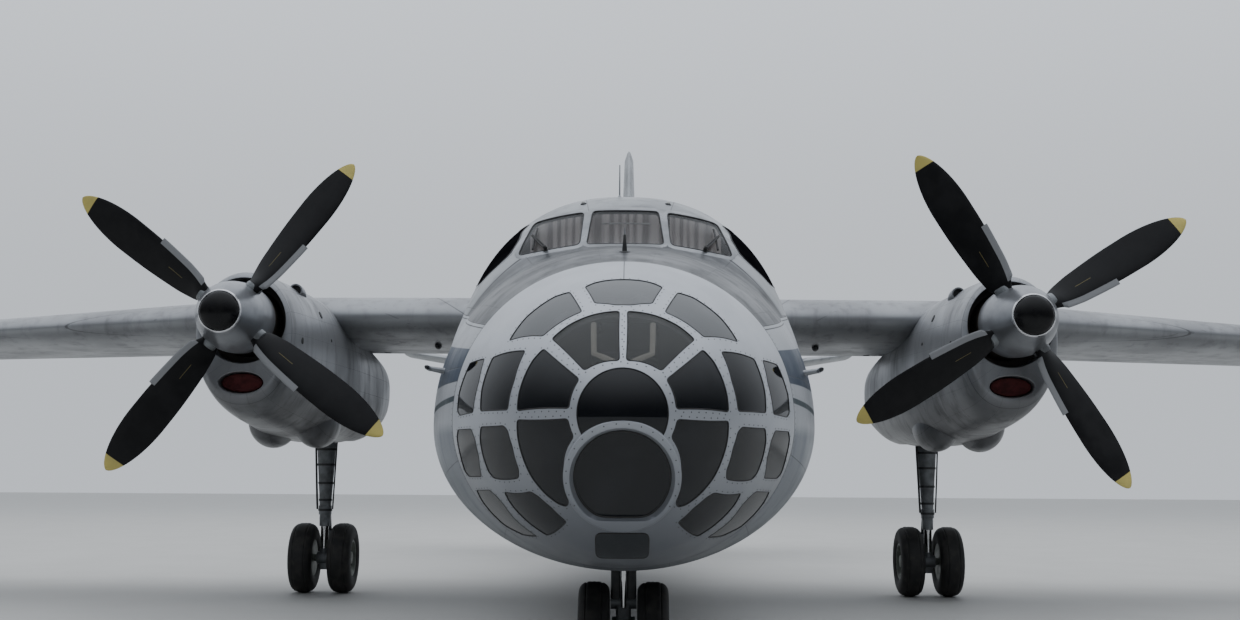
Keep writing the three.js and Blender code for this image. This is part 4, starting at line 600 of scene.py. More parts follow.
# Plain finishes: the material's name, its colour, the colour of its patches, its roughness, how
# close the patches lie, the height of its grain, and what else its shader is given
GRAIN = 0.002
for key, name, colour, patch, roughness, scale, grain, extras in (
    ("dark_glass", "bulged_glass", (0.003, 0.003, 0.004), (0.006, 0.006, 0.007), 0.5, 6, 0.0003,
     {"specular_ior_level": 0.0}),
    ("dome", "black_dome", (0.006, 0.006, 0.007), (0.012, 0.012, 0.012), 0.2, 8, 0.0004,
     {"specular_ior_level": 0.25}),
    ("rubber", "black_rubber", (0.014, 0.014, 0.015), (0.028, 0.027, 0.026), 0.6, 20, GRAIN, {}),
    ("screw", "dark_screws", (0.06, 0.06, 0.065), (0.1, 0.1, 0.105), 0.4, 30, GRAIN, {"metallic": 0.8}),
    ("frame", "silver_frames", (0.3, 0.312, 0.33), (0.22, 0.228, 0.24), 0.34, 6, GRAIN, {"metallic": 0.5}),
    ("plate", "blue_grey_plate", (0.011, 0.015, 0.019), (0.02, 0.024, 0.028), 0.5, 8, GRAIN, {}),
    ("duct", "dark_duct", (0.02, 0.016, 0.013), (0.045, 0.034, 0.026), 0.55, 7, GRAIN, {}),
    ("soot", "burnt_steel", (0.11, 0.085, 0.065), (0.04, 0.034, 0.03), 0.5, 6, GRAIN, {"metallic": 0.8}),
    ("red", "red_plug", (0.085, 0.008, 0.009), (0.045, 0.006, 0.007), 0.85, 14, GRAIN, {}),
    ("leg", "grey_gear_paint", (0.22, 0.235, 0.245), (0.12, 0.125, 0.13), 0.42, 7, GRAIN, {"metallic": 0.35}),
    ("dark", "dark_fittings", (0.035, 0.037, 0.04), (0.07, 0.07, 0.07), 0.5, 12, GRAIN, {"metallic": 0.4}),
    ("chrome", "polished_piston", (0.62, 0.62, 0.62), (0.5, 0.5, 0.5), 0.14, 12, 0.0005, {"metallic": 1.0}),
    ("rim", "grey_green_rims", (0.17, 0.19, 0.165), (0.09, 0.1, 0.085), 0.5, 9, GRAIN, {"metallic": 0.2}),
    ("interior", "cabin_paint", (0.2, 0.22, 0.2), (0.13, 0.14, 0.13), 0.7, 5, GRAIN, {}),
    # The struts' emission is a painted glow that stands for sunlight falling on them
    ("strut", "strut_paint_and_glow", (0.75, 0.73, 0.66), (0.6, 0.58, 0.5), 0.5, 9, GRAIN,
     {"emission_color": (0.7, 0.68, 0.6), "emission_strength": 0.3}),
    ("white", "white_plastic", (0.62, 0.63, 0.62), (0.5, 0.5, 0.49), 0.4, 9, GRAIN, {}),
    ("lamp", "lamp_lens", (0.5, 0.5, 0.48), (0.4, 0.4, 0.38), 0.1, 9, 0.0005, {"coat_weight": 1.0}),
):
    FINISHES[key] = plain_finish(name, colour, patch, roughness, scale, grain, **extras)

ACROSS, AFT, UP = (1, 0, 0), (0, 1, 0), (0, 0, 1)


def turns(count):
    """Angles at even steps round a full turn."""
    return np.arange(count) * 2 * np.pi / count


def unit(vectors):
    """Vectors scaled to a length of 1."""
    return vectors / np.linalg.norm(vectors, axis=-1, keepdims=True)


def signed_power(value, power):
    """|v|^p with the sign of v."""
    return np.sign(value) * np.abs(value) ** power


def at(x, station, z):
    """Place in the frame of a station."""
    return np.array([x, NOSE_Y + station, z], float)


def lengths_along(path):
    """Distance of each point of a path from its first, along the path."""
    return np.concatenate([[0], np.cumsum(np.linalg.norm(np.diff(path, axis=0), axis=1))])


def airfoil_half(x):
    """Half the thickness of an airfoil 1 thick at x of its chord: the four-digit formula with a
    closed trailing edge."""
    return 5 * (0.2969 * np.sqrt(x) - 0.126 * x - 0.3516 * x ** 2 + 0.2843 * x ** 3 - 0.1036 * x ** 4)


def ball(rows, columns):
    """Unit sphere as rings from its foremost pole to its aftmost."""
    tilt, around = np.linspace(-np.pi / 2, np.pi / 2, rows)[:, None], turns(columns)[None]
    out = np.cos(tilt)
    return np.stack([out * np.cos(around), np.sin(tilt) + 0 * around, out * np.sin(around)], -1)


def smooth_curve(table, column, root=True):
    """Curve through one column of a table over the first column's square root, or over the column
    itself: a cubic between the rows, whose slope at a row is the harmonic mean of those on both sides."""
    table = np.asarray(table, float)
    warp = np.sqrt if root else np.asarray
    xs, ys = warp(table[:, 0]), table[:, column]
    slopes = np.diff(ys) / np.diff(xs)
    before, after = slopes[:-1], slopes[1:]
    total = np.where(before * after > 0, before + after, 1)
    middle = np.where(before * after > 0, 2 * before * after / total, 0)
    tangents = np.concatenate([slopes[:1], middle, slopes[-1:]])

    def curve(place):
        x = np.clip(warp(np.maximum(place, 0)), xs[0], xs[-1])
        k = np.clip(np.searchsorted(xs, x, "right") - 1, 0, len(xs) - 2)
        h = xs[k + 1] - xs[k]
        t = (x - xs[k]) / h
        rows = ys[k] * (1 + 2 * t) * (1 - t) ** 2 + ys[k + 1] * t * t * (3 - 2 * t)
        return rows + h * tangents[k] * t * (1 - t) ** 2 - h * tangents[k + 1] * t * t * (1 - t)
    return curve


class SectionBody:
    """A skin of superellipse sections: at a clock angle a, x = w sgn(cos a)|cos a|^(2/p) and z leaves
    the widest level by h sgn(sin a)|sin a|^(2/p), with w, h and p smooth over the stations."""

    def __init__(self, table, centre_x=0.0):
        self.centre_x = centre_x
        self.curves = [smooth_curve(table, column) for column in range(1, 7)]

    def section(self, station, above):
        """Half width, widest level, height and power of the half section above or below that level."""
        half, level, top, bottom, upper, lower = (curve(station) for curve in self.curves)
        height = np.where(above, top - level, level - bottom)
        return half, level, height, np.where(above, upper, lower)

    def section_at(self, station, z):
        return self.section(station, z >= self.curves[1](station))

    def point(self, station, angle):
        station, angle = np.broadcast_arrays(station, angle)
        half, level, height, power = self.section(station, np.sin(angle) >= 0)
        x = self.centre_x + half * signed_power(np.cos(angle), 2 / power)
        z = level + height * signed_power(np.sin(angle), 2 / power)
        return np.stack([x, NOSE_Y + station, z], -1)

    def normal(self, station, angle):
        """Cross product of the skin's two directions, each from points just before and after."""
        step, turn, nothing = 5e-4, 1e-3, 1e-12
        along = self.point(station + step, angle) - self.point(station - step, angle)
        around = self.point(station, angle + turn) - self.point(station, angle - turn)
        normal = np.cross(along, around)
        size = np.linalg.norm(normal, axis=-1, keepdims=True)
        return np.where(size > nothing, normal / np.maximum(size, nothing), (0, -1, 0))

    def inset(self, station, angle, depth):
        """Point at a depth below the skin, along its normal."""
        return self.point(station, angle) - self.normal(station, angle) * np.asarray(depth)[..., None]

    def inset_at(self, station, angle, depth):
        """Point of the inset skin whose own station is the given one, found in a few steps that
        each move the skin's station by most of what is missing."""
        station, angle = np.broadcast_arrays(np.asarray(station, float), angle)
        source = station
        for _ in range(6):
            source = source + 0.9 * (station - (self.inset(source, angle, depth)[..., 1] - NOSE_Y))
        found = self.inset(source, angle, depth)
        found[..., 1] = NOSE_Y + station
        return found

    def clock(self, station, x, z):
        """Clock angle of the skin's point nearest to x and z in a section."""
        half, level, height, power = self.section_at(station, z)
        across = signed_power((x - self.centre_x) / half, power / 2)
        return np.arctan2(signed_power((z - level) / height, power / 2), across)

    def width_at(self, station, z):
        """Half the section's width at a height."""
        half, level, height, power = self.section_at(station, z)
        return half * np.maximum(1 - np.abs((z - level) / height) ** power, 0) ** (1 / power)

    def front_station(self, x, z, low, high):
        """Station between two others where the skin passes through x and z, by halving."""
        low, high = np.full(np.shape(x), float(low)), np.full(np.shape(x), float(high))
        for _ in range(40):
            middle = (low + high) / 2
            half, level, height, power = self.section_at(middle, z)
            across, up = np.abs((x - self.centre_x) / half), np.abs((z - level) / height)
            outside = across ** power + up ** power > 1
            low, high = np.where(outside, middle, low), np.where(outside, high, middle)
        return (low + high) / 2


fuselage = SectionBody(FUSELAGE)
pods = {name: SectionBody(POD, side * NACELLE_X) for name, side in SIDES}


class Form:
    """Points and faces of one piece, gathered grid by grid, with number attributes on its points."""

    def __init__(self):
        self.points, self.faces, self.marks, self.count = [], [], {}, 0

    def grid(self, points, closed=False, filled=False, **marks):
        """Quads between the rows of a grid of points, whose last column joins its first. closed joins
        its last row to its first, and filled closes its end rows towards their middles."""
        points = np.asarray(points, float)
        if filled:
            ends = [np.repeat(points[k].mean(0)[None], points.shape[1], 0)[None] for k in (0, -1)]
            points = np.concatenate([ends[0], points, ends[1]])
            marks = {name: np.concatenate([value[:1], value, value[-1:]]) for name, value in marks.items()}
        rows, columns = points.shape[:2]
        ids = self.count + np.arange(rows * columns).reshape(rows, columns)
        ids = np.hstack([ids, ids[:, :1]])
        if closed:
            ids = np.vstack([ids, ids[:1]])
        quads = np.stack([ids[:-1, :-1], ids[:-1, 1:], ids[1:, 1:], ids[1:, :-1]], -1)
        self.faces.append(quads.reshape(-1, 4))
        self.points.append(points.reshape(-1, 3))
        self.count += rows * columns
        for name, value in marks.items():
            self.marks.setdefault(name, []).append(np.broadcast_to(value, (rows, columns)).reshape(-1))
        return self

    def lathe(self, profile, centre, axis=UP, count=48):
        """Rings of a profile of distances along an axis and radii, turned about it."""
        profile = np.asarray(profile, float)
        axis = unit(np.asarray(axis, float))
        side = unit(np.cross(axis, UP if abs(axis[2]) < 0.9 else ACROSS))
        angle = turns(count)[:, None]
        ring = np.cos(angle) * side + np.sin(angle) * np.cross(side, axis)
        rows = np.asarray(centre) + profile[:, 0, None, None] * axis + profile[:, 1, None, None] * ring
        return self.grid(rows, filled=True)

    def tube(self, path, radius, count=12):
        """Round rod along a path: rings square to it, each turned as little as possible from the last."""
        path = np.asarray(path, float)
        tangents = unit(np.gradient(path, axis=0))
        side = np.cross(tangents[0], UP if abs(tangents[0, 2]) < 0.9 else ACROSS)
        angle = turns(count)[:, None]
        rings = []
        for place, tangent, size in zip(path, tangents, np.broadcast_to(radius, len(path))):
            side = unit(side - tangent * side.dot(tangent))
            rings.append(place + size * (np.cos(angle) * side + np.sin(angle) * np.cross(tangent, side)))
        return self.grid(rings, filled=True)

    def hoop(self, path, radius, count=10):
        """Round rod along a closed path: rings square to it, upright to the loop's own plane."""
        path = np.asarray(path, float)
        tangents = unit(np.roll(path, -1, 0) - np.roll(path, 1, 0))
        arms = path - path.mean(0)
        normal = unit(np.cross(arms, np.roll(arms, -1, 0)).sum(0))
        side = unit(np.cross(tangents, normal))
        up = np.cross(side, tangents)
        angle = turns(count)[None, :, None]
        rings = path[:, None] + radius * (np.cos(angle) * side[:, None] + np.sin(angle) * up[:, None])
        return self.grid(rings, closed=True)

    def cushion(self, low, high, plan=(0, 1), channels=(), crown=0.22, piping=0.006):
        """Stuffed pad with piping round its seam. In plan it is a superellipse whose sides pull in
        between the corners. From the seam both faces swell as (1 - r^5)^0.4 of half the thickness,
        more in the middle, and sewn channels press in as narrow bell curves across the pad."""
        low, high = np.asarray(low, float), np.asarray(high, float)
        middle, half = (low + high) / 2, (high - low) / 2
        through = 3 - sum(plan)
        share = 1 - (1 - np.linspace(0, 1, 26)) ** 2
        swell = (1 - share ** 5) ** 0.4
        reach = np.concatenate([share, share[-2::-1]])[:, None]
        lift = np.concatenate([swell, -swell[-2::-1]])[:, None]
        around = turns(120)[None]
        pull = 1 - 0.04 * np.cos(2 * around) ** 2
        u, v = (reach * signed_power(wave(around), 0.3) * pull for wave in (np.cos, np.sin))
        thick = lift * (1 - crown + crown * (1 - u * u) * (1 - v * v))
        for place in channels:
            thick = thick - np.sign(lift) * 0.16 * np.exp(-((v - place) / 0.04) ** 2) * (1 - reach ** 8)
        points = np.empty((*u.shape, 3))
        for axis, value in zip((*plan, through), (u, v, thick)):
            points[..., axis] = middle[axis] + half[axis] * value
        self.grid(points)
        return self.hoop(points[len(share) - 1], piping, 8)

    def block(self, low, high, radius=0.01, steps=3):
        """Box with rounded edges: rounded-rectangle rings between two heights, drawn in at the first
        and last few rings by a quarter circle."""
        low, high = np.minimum(low, high).astype(float), np.maximum(low, high).astype(float)
        radius = min(radius, *((high - low) / 2.001))
        quarter = np.linspace(0, np.pi / 2, steps + 1)
        inward = radius * (1 - np.sin(quarter))
        rise = radius * (1 - np.cos(quarter))
        heights = np.concatenate([low[2] + rise, high[2] - rise[::-1]])
        drawn = np.concatenate([inward, inward[::-1]])
        corner = np.concatenate([quarter + k * np.pi / 2 for k in range(4)])
        signs = np.repeat([(1, 1), (-1, 1), (-1, -1), (1, -1)], steps + 1, axis=0)
        centres = (low + high)[:2] / 2 + signs * ((high - low)[:2] / 2 - radius)
        spoke = np.stack([np.cos(corner), np.sin(corner)], -1)
        rings = centres + spoke * np.maximum(radius - drawn, 1e-5)[:, None, None]
        rows = np.concatenate([rings, np.broadcast_to(heights[:, None, None], (*rings.shape[:2], 1))], -1)
        return self.grid(rows, filled=True)

    def on_side(self, side):
        """The form itself for the left side, its mirror image for the right."""
        if side > 0:
            return self
        copy = Form()
        copy.points = [points * (-1, 1, 1) for points in self.points]
        copy.faces, copy.marks, copy.count = self.faces, self.marks, self.count
        return copy

    def mesh(self, name):
        """Mesh with doubles merged, so that seams and poles close, and faces pointing out."""
        mesh = bpy.data.meshes.new(name)
        mesh.from_pydata(np.concatenate(self.points), [], np.concatenate(self.faces))
        for mark, values in self.marks.items():
            layer = mesh.attributes.new(mark, "FLOAT", "POINT")
            layer.data.foreach_set("value", np.concatenate(values))
        bm = bmesh.new()
        bm.from_mesh(mesh)
        bmesh.ops.remove_doubles(bm, verts=bm.verts, dist=2e-6)
        bmesh.ops.dissolve_degenerate(bm, edges=bm.edges, dist=1e-7)
        bmesh.ops.recalc_face_normals(bm, faces=bm.faces)
        bm.to_mesh(mesh)
        bm.free()
        return mesh


def link(name, data):
    """Adds an object to the scene."""
    thing = bpy.data.objects.new(name, data)
    bpy.context.scene.collection.objects.link(thing)
    return thing


def carve(form, name, *tools):
    """The form's mesh with the tools' forms cut out of it by an exact difference."""
    result = form.mesh(name)
    for tool in tools:
        target, cutter = link("carved", result), link("cutter", tool.mesh("cutter"))
        cut = target.modifiers.new("cut", "BOOLEAN")
        cut.operation, cut.solver, cut.object = "DIFFERENCE", "MANIFOLD", cutter
        bpy.context.view_layer.update()
        carved = target.evaluated_get(bpy.context.evaluated_depsgraph_get())
        result = bpy.data.meshes.new_from_object(carved)
        result.name = name
        for thing in (target, cutter):
            bpy.data.objects.remove(thing)
    return result


def true_normals(mesh, body):
    """Gives each face corner on the body's own skin that skin's exact normal."""
    places = np.empty(len(mesh.vertices) * 3, np.float32)
    mesh.vertices.foreach_get("co", places)
    places = places.reshape(-1, 3).astype(float)
    station = places[:, 1] - NOSE_Y
    angle = body.clock(np.maximum(station, 1e-6), places[:, 0], places[:, 2])
    near = np.linalg.norm(body.point(station, angle) - places, axis=1) < 5e-4
    exact = body.normal(station, angle)
    corners = np.empty(len(mesh.loops), np.int32)
    mesh.loops.foreach_get("vertex_index", corners)
    faces = np.empty(len(mesh.polygons) * 3, np.float32)
    mesh.polygons.foreach_get("normal", faces)
    sizes = np.empty(len(mesh.polygons), np.int32)
    mesh.polygons.foreach_get("loop_total", sizes)
    flat = np.repeat(faces.reshape(-1, 3), sizes, axis=0)
    agrees = np.einsum("ij,ij->i", flat, exact[corners]) > 0.93
    chosen = (near[corners] & agrees)[:, None]
    mesh.normals_split_custom_set(np.where(chosen, exact[corners], 0).tolist())


def piece(name, shape, finish, body="airframe", replaces=None, sharp=32, skin=None):
    """Finished object: smooth but for sharp edges, riding on its body, standing for a CAD node."""
    mesh = shape.mesh(name) if isinstance(shape, Form) else shape
    mesh.shade_smooth()
    mesh.set_sharp_from_angle(angle=math.radians(sharp))
    if skin:
        true_normals(mesh, skin)
    mesh.materials.clear()
    mesh.materials.append(FINISHES[finish])
    thing = link(name, mesh)
    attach(thing, body)
    if replaces:
        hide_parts(replaces)
    return thing


def rounded(corners, radius, count=72):
    """Closed outline with soft corners: the polygon is walked at even steps, and each point becomes
    the mean of its neighbours within the radius on either side."""
    loop = np.vstack([corners, corners[:1]]).astype(float)
    along = lengths_along(loop)
    finer = 8
    fine = finer * count
    steps = np.linspace(0, along[-1], fine, endpoint=False)
    walked = np.stack([np.interp(steps, along, loop[:, k]) for k in (0, 1)], 1)
    width = max(1, round(2 * radius / along[-1] * fine))
    padded = np.vstack([walked[-width:], walked, walked[:width]])
    soft = np.stack([np.convolve(padded[:, k], np.ones(width) / width, "same") for k in (0, 1)], 1)
    return soft[width:-width][::finer]


class Opening:
    """Opening in the fuselage: a closed outline in a flat plane, and lay(u, v), which gives the station and
    clock angle of each of the plane's points."""

    def __init__(self, outline, lay):
        area = np.sum(outline[:, 0] * np.roll(outline[:, 1], -1) - outline[:, 1] * np.roll(outline[:, 0], -1))
        self.outline = outline if area > 0 else outline[::-1]
        self.lay = lay

    def grown(self, distance):
        """The outline moved outwards along its own normals."""
        edge = unit(np.roll(self.outline, -1, 0) - np.roll(self.outline, 1, 0))
        return self.outline + distance * np.stack([edge[:, 1], -edge[:, 0]], 1)

    def on_skin(self, flat, depth):
        station, angle = self.lay(flat[..., 0], flat[..., 1])
        return fuselage.inset(station, angle, np.broadcast_to(depth, station.shape))

    def sheet(self, grow, depth, rings=6, bulge=0.0):
        """Rings from the middle out to the outline, proud of the depth by bulge times 1 - r squared."""
        edge = self.grown(grow)
        share = np.linspace(0, 1, rings + 1)[:, None, None]
        middle = edge.mean(0)
        flat = middle + (edge - middle) * share
        return self.on_skin(flat, depth - bulge * (1 - share[..., 0] ** 2) * np.ones(len(edge)))

    def plug(self, form, near, far, grow=0.0, rings=6, bulge=0.0):
        """Closed body that fills the outline between two depths."""
        outer, inner = self.sheet(grow, near, rings, bulge), self.sheet(grow, far, rings, bulge)
        return form.grid(np.concatenate([outer, inner[::-1]]))

    def bead(self, form, width, height, grow=0.0, sunk=0.004, steps=8):
        """Half-round strip along the outline, as wide and as high as given."""
        arc = np.linspace(0, np.pi, steps + 1)
        offsets = np.concatenate([grow + width / 2 * np.cos(arc), [grow - width / 2, grow + width / 2]])
        depths = np.concatenate([-height * np.sin(arc), [sunk, sunk]])
        return form.grid([self.on_skin(self.grown(g), d) for g, d in zip(offsets, depths)], closed=True)

    def spots(self, grow, spacing):
        """Places and normals at even steps beside the outline."""
        edge = self.grown(grow)
        places = fuselage.point(*self.lay(edge[:, 0], edge[:, 1]))
        along = lengths_along(np.vstack([places, places[:1]]))
        steps = np.linspace(0, along[-1], max(3, round(along[-1] / spacing)), endpoint=False)
        laid = self.lay(*(np.interp(steps, along, np.append(edge[:, k], edge[0, k])) for k in (0, 1)))
        return fuselage.point(*laid), fuselage.normal(*laid)


def add_screws(form, places, normals, radius, height):
    """Low domed heads: two rings of eight and a closed top at each place."""
    side = unit(np.cross(normals, np.where(np.abs(normals[:, 2:]) < 0.9, UP, ACROSS)))
    up = np.cross(normals, side)
    angle = turns(8)[None, :, None]
    ring = np.cos(angle) * side[:, None] + np.sin(angle) * up[:, None]
    levels = ((1, -0.002), (1, height * 0.4), (0.6, height))
    for place, spoke, normal in zip(places, ring, normals):
        form.grid([place + radius * r * spoke + normal * h for r, h in levels], filled=True)


def fuselage_tube(stretch, rows, columns):
    """Wall of a stretch of the fuselage, with a rim at each end."""
    station = np.linspace(stretch["start"], stretch["end"], rows)[:, None]
    angle = turns(columns)[None]
    inner = fuselage.inset_at(station, angle, stretch["wall"])
    return Form().grid(np.concatenate([fuselage.point(station, angle), inner[::-1]]), closed=True)


def side_lay(side):
    """Lays a plane of station and height on one side of the fuselage."""
    def lay(station, z):
        return station, fuselage.clock(station, side * fuselage.width_at(station, z), z)
    return lay


def front_lay(low, high):
    """Lays a plane of x and height on the fuselage where it faces forwards between two stations."""
    def lay(x, z):
        station = fuselage.front_station(x, z, low, high)
        return station, fuselage.clock(station, x, z)
    return lay


def belly_lay(x, station):
    """Lays a plane of x and station on the underside of the fuselage."""
    half, level, height, power = fuselage.section(station, False)
    z = level - height * (1 - np.abs(x / half) ** power) ** (1 / power)
    return station, fuselage.clock(station, x, z)


def rectangle(u0, u1, v0, v1):
    return [(u0, v0), (u1, v0), (u1, v1), (u0, v1)]


# The nose is laid out flat by its arc length from the tip and its clock angle
ARC_STATIONS = np.linspace(0, 1.25, 400) ** 2
ARC_LENGTHS = lengths_along(fuselage.point(ARC_STATIONS, np.pi / 4))


def nose_lay(u, v):
    return np.interp(np.hypot(u, v), ARC_LENGTHS, ARC_STATIONS), np.arctan2(v, u)


def nose_flat(station, degrees):
    """Flat place of a station and a clock angle of the nose."""
    reach = np.interp(station, ARC_STATIONS, ARC_LENGTHS)
    angle = np.radians(degrees)
    return np.stack([reach * np.cos(angle), reach * np.sin(angle)], -1)


def nose_window(corners):
    """Window whose sides run evenly in station and clock angle from corner to corner."""
    loop = np.vstack([corners, corners[:1]])
    share = np.linspace(0, 1, 16, endpoint=False)[:, None]
    walked = np.vstack([a + (b - a) * share for a, b in zip(loop, loop[1:])])
    return Opening(rounded(nose_flat(walked[:, 0], walked[:, 1]), NOSE_CORNER, 120), nose_lay)


def nose_windows():
    left = list(NOSE_WINDOWS.values())
    right = [[(station, 180 - degrees) for station, degrees in corners] for corners in left]
    return [nose_window(np.array(corners)) for corners in [*left, *right, TOP_NOSE_WINDOW]]


SIGHT_TILT = math.radians(SIGHT["tilt"])
SIGHT_AXIS = np.array([0, -math.cos(SIGHT_TILT), -math.sin(SIGHT_TILT)])
SIGHT_UP = np.array([0, -math.sin(SIGHT_TILT), math.cos(SIGHT_TILT)])
SIGHT_CENTRE = at(0, SIGHT["station"], SIGHT["z"])


def sight_ring(radius, lift, chord, ahead, count=120):
    """Ring about the sight's axis at a distance ahead of its centre, its middle lifted along the
    ring's own plane and its foot cut by a chord: the radius becomes the smaller of the circle's and
    the chord's, blended at the corners."""
    angle = turns(count)[:, None]
    size = float(radius)
    if chord:
        down = np.maximum(-np.sin(angle), 1e-3)
        size = (size ** -24 + (chord / down) ** -24) ** (-1 / 24)
    spoke = np.cos(angle) * ACROSS + np.sin(angle) * SIGHT_UP
    return SIGHT_CENTRE + lift * SIGHT_UP + size * spoke + SIGHT_AXIS * ahead


def build_nose():
    """Nose frame, its panes, gaskets, screws, struts and the plate under the sight window."""
    windows = nose_windows()
    ring, lift, chord, radius = (SIGHT[key] for key in ("ring", "lift", "chord", "radius"))
    reach = np.linspace(*np.interp((NOSE_FRAME["start"], NOSE_FRAME["end"]), ARC_STATIONS, ARC_LENGTHS), 64)
    station = np.interp(reach, ARC_LENGTHS, ARC_STATIONS)[:, None]
    station[-1] = NOSE_FRAME["end"]
    angle = turns(320)[None]
    outer = fuselage.point(station, angle)
    inner = fuselage.inset(station, angle, NOSE_FRAME["wall"])
    inner[-1] = fuselage.inset_at(NOSE_FRAME["end"], angle[0], NOSE_FRAME["wall"])
    holes = Form()
    for window in windows:
        window.plug(holes, *GLAZING["nose"]["cut"])
    bore = Form().grid([sight_ring(ring, lift, None, ahead) for ahead in (-0.6, 0.4)], filled=True)
    shell = Form().grid(np.concatenate([outer, inner[::-1]]), closed=True)
    piece("nose_shell", carve(shell, "nose_shell", holes, bore), "nose",
          replaces="nose_frame", skin=fuselage)

    panes, clear, upper, gaskets, screws = (Form() for _ in range(5))
    # Glass by window name: clear beside the crown, and paler round the top, a painted reflection of the sky
    names = [*NOSE_WINDOWS, *NOSE_WINDOWS, "second_high"]
    for name, window in zip(names, windows):
        glazing = {"first_high": clear, "second_high": upper}.get(name, panes)
        window.plug(glazing, *GLAZING["nose"]["glass"], PANE_FIT)
        window.bead(gaskets, *GLAZING["nose"]["seal"])
        spots = window.spots(SCREW["beside"], SCREW["spacing"])
        add_screws(screws, *spots, SCREW["radius"], SCREW["height"])
    # The tip's round pane is a cap of the nose's own skin, behind the sight ring
    cap = (np.linspace(0, 1, 16)[:, None] ** 2) * NOSE_FRAME["start"] * 0.985
    front, back = (fuselage.inset(cap, turns(120)[None], depth) for depth in (0.004, 0.014))
    lens = Form().grid(np.concatenate([front, back[::-1]]))
    piece("tip_pane", carve(lens, "tip_pane", bore), "glass")
    lip = Form().grid([fuselage.inset(NOSE_FRAME["start"] * grow ** 2, turns(160), depth) for grow, depth in (
        (0.9965, -0.003), (1.004, 0.0), (0.9965, 0.012), (0.985, 0.012), (0.985, 0.0))], closed=True)
    piece("tip_gasket", carve(lip, "tip_gasket", bore), "rubber")
    panes.grid([sight_ring(radius - 0.002, 0, chord, ahead) for ahead in (-0.052, -0.044)], filled=True)

    # Raised ring: outer wall, soft edge, flat face, bevel down to the glass, inner wall
    steps = [
        (ring + 0.004, lift, None, -0.2), (ring + 0.004, lift, None, -0.002), (ring, lift, None, 0.006),
        (ring - 0.006, lift, None, 0.009), (radius + 0.028, 0.01, chord + 0.012, 0.009),
        (radius + 0.022, 0.008, chord + 0.01, 0.006), (radius + 0.002, 0.001, chord + 0.002, -0.038),
        (radius, 0, chord, -0.042), (radius, 0, chord, -0.2),
    ]
    rim = Form().grid([sight_ring(*step) for step in steps], closed=True)
    piece("sight_ring", rim, "nose")
    seal = [sight_ring(radius - inward, 0, chord - inward, ahead) for inward, ahead in (
        (-0.001, -0.046), (-0.001, -0.034), (0.008, -0.038), (0.008, -0.046))]
    gaskets.grid(seal, closed=True)
    angles = turns(28)[:, None] + 0.11
    spots = SIGHT_CENTRE + 0.0145 * SIGHT_UP + SIGHT_AXIS * 0.009
    spots = spots + 0.327 * (np.cos(angles) * ACROSS + np.sin(angles) * SIGHT_UP)
    spots = spots[np.sin(angles[:, 0]) > -0.55]
    add_screws(screws, spots, np.tile(SIGHT_AXIS, (len(spots), 1)), SCREW["radius"], SCREW["height"])
    for name, form, finish, replaces in (
            ("nose_panes", panes, "glass", "nose_glazing"), ("clear_panes", clear, "clear_glass", None),
            ("upper_panes", upper, "upper_glass", None)):
        piece(name, form, finish, replaces=replaces)
    piece("nose_gaskets", gaskets, "rubber")
    piece("nose_screws", screws, "screw")

    struts = Form()
    for _, side in SIDES:
        struts.tube([at(side * x, station, z) for x, station, z in NOSE_STRUT], 0.017, 12)
    piece("nose_struts", struts, "strut")
    half, low, high, corner = UNDER_PLATE.values()
    plate = Opening(rounded(rectangle(-half, half, low, high), corner), front_lay(0.3, 1.165))
    piece("under_plate", plate.plug(Form(), -0.004, 0.01), "plate")
    piece("under_plate_edge", plate.bead(Form(), 0.008, 0.006), "rubber")


# The skin that faces forwards round the windshield
cockpit_lay = front_lay(2.4, 4.2)


def build_forward():
    """Cockpit section with its windows, frames, wipers, curtains and aerials."""
    ports = cabin_ports(FORWARD)
    holes, glass, side_glass, frames, seals = (Form() for _ in range(5))
    panes = [("front", glass, 0, Opening(rounded(WINDSHIELD, 0.035), cockpit_lay))]
    for _, side in SIDES:
        corners = [(side * x, z) for x, z in FRONT_PANE]
        panes.append(("front", glass, 0, Opening(rounded(corners, 0.04), cockpit_lay)))
    for _, side in SIDES:
        panes.append(("side", side_glass, SIDE_BULGE, Opening(rounded(SIDE_PANE, 0.06), side_lay(side))))
    for kind, form, bulge, pane in panes:
        spec = GLAZING[kind]
        pane.plug(holes, *spec["cut"])
        pane.plug(form, *spec["glass"], PANE_FIT, bulge=bulge)
        pane.bead(frames, *spec["frame"])
        pane.bead(seals, *spec["seal"])
    for port in ports:
        port.plug(holes, *GLAZING["cabin"]["cut"])
    bay = Form().lathe([(-0.3, 0.19), (0.4, 0.19)], at(0, NOSE["station"], 0.95), UP, 64)
    piece("forward_skin", carve(fuselage_tube(FORWARD, 110, 280), "forward_skin", holes, bay), "skin",
          replaces="forward_fuselage", skin=fuselage)
    piece("windshield", glass, "cockpit_glass", replaces="cockpit_glazing")
    piece("side_windows", side_glass, "dark_glass")
    piece("cockpit_frames", frames, "frame")
    piece("cockpit_seals", seals, "rubber")
    build_ports("forward_ports", ports)
    build_wipers()
    build_aerials()
    build_seats()
    build_curtains()


def on_front(x, z, lift):
    """Point at a height above the skin in front of the cockpit."""
    station, angle = cockpit_lay(np.asarray(x, float), np.asarray(z, float))
    return fuselage.inset(station, angle, -np.broadcast_to(lift, station.shape))


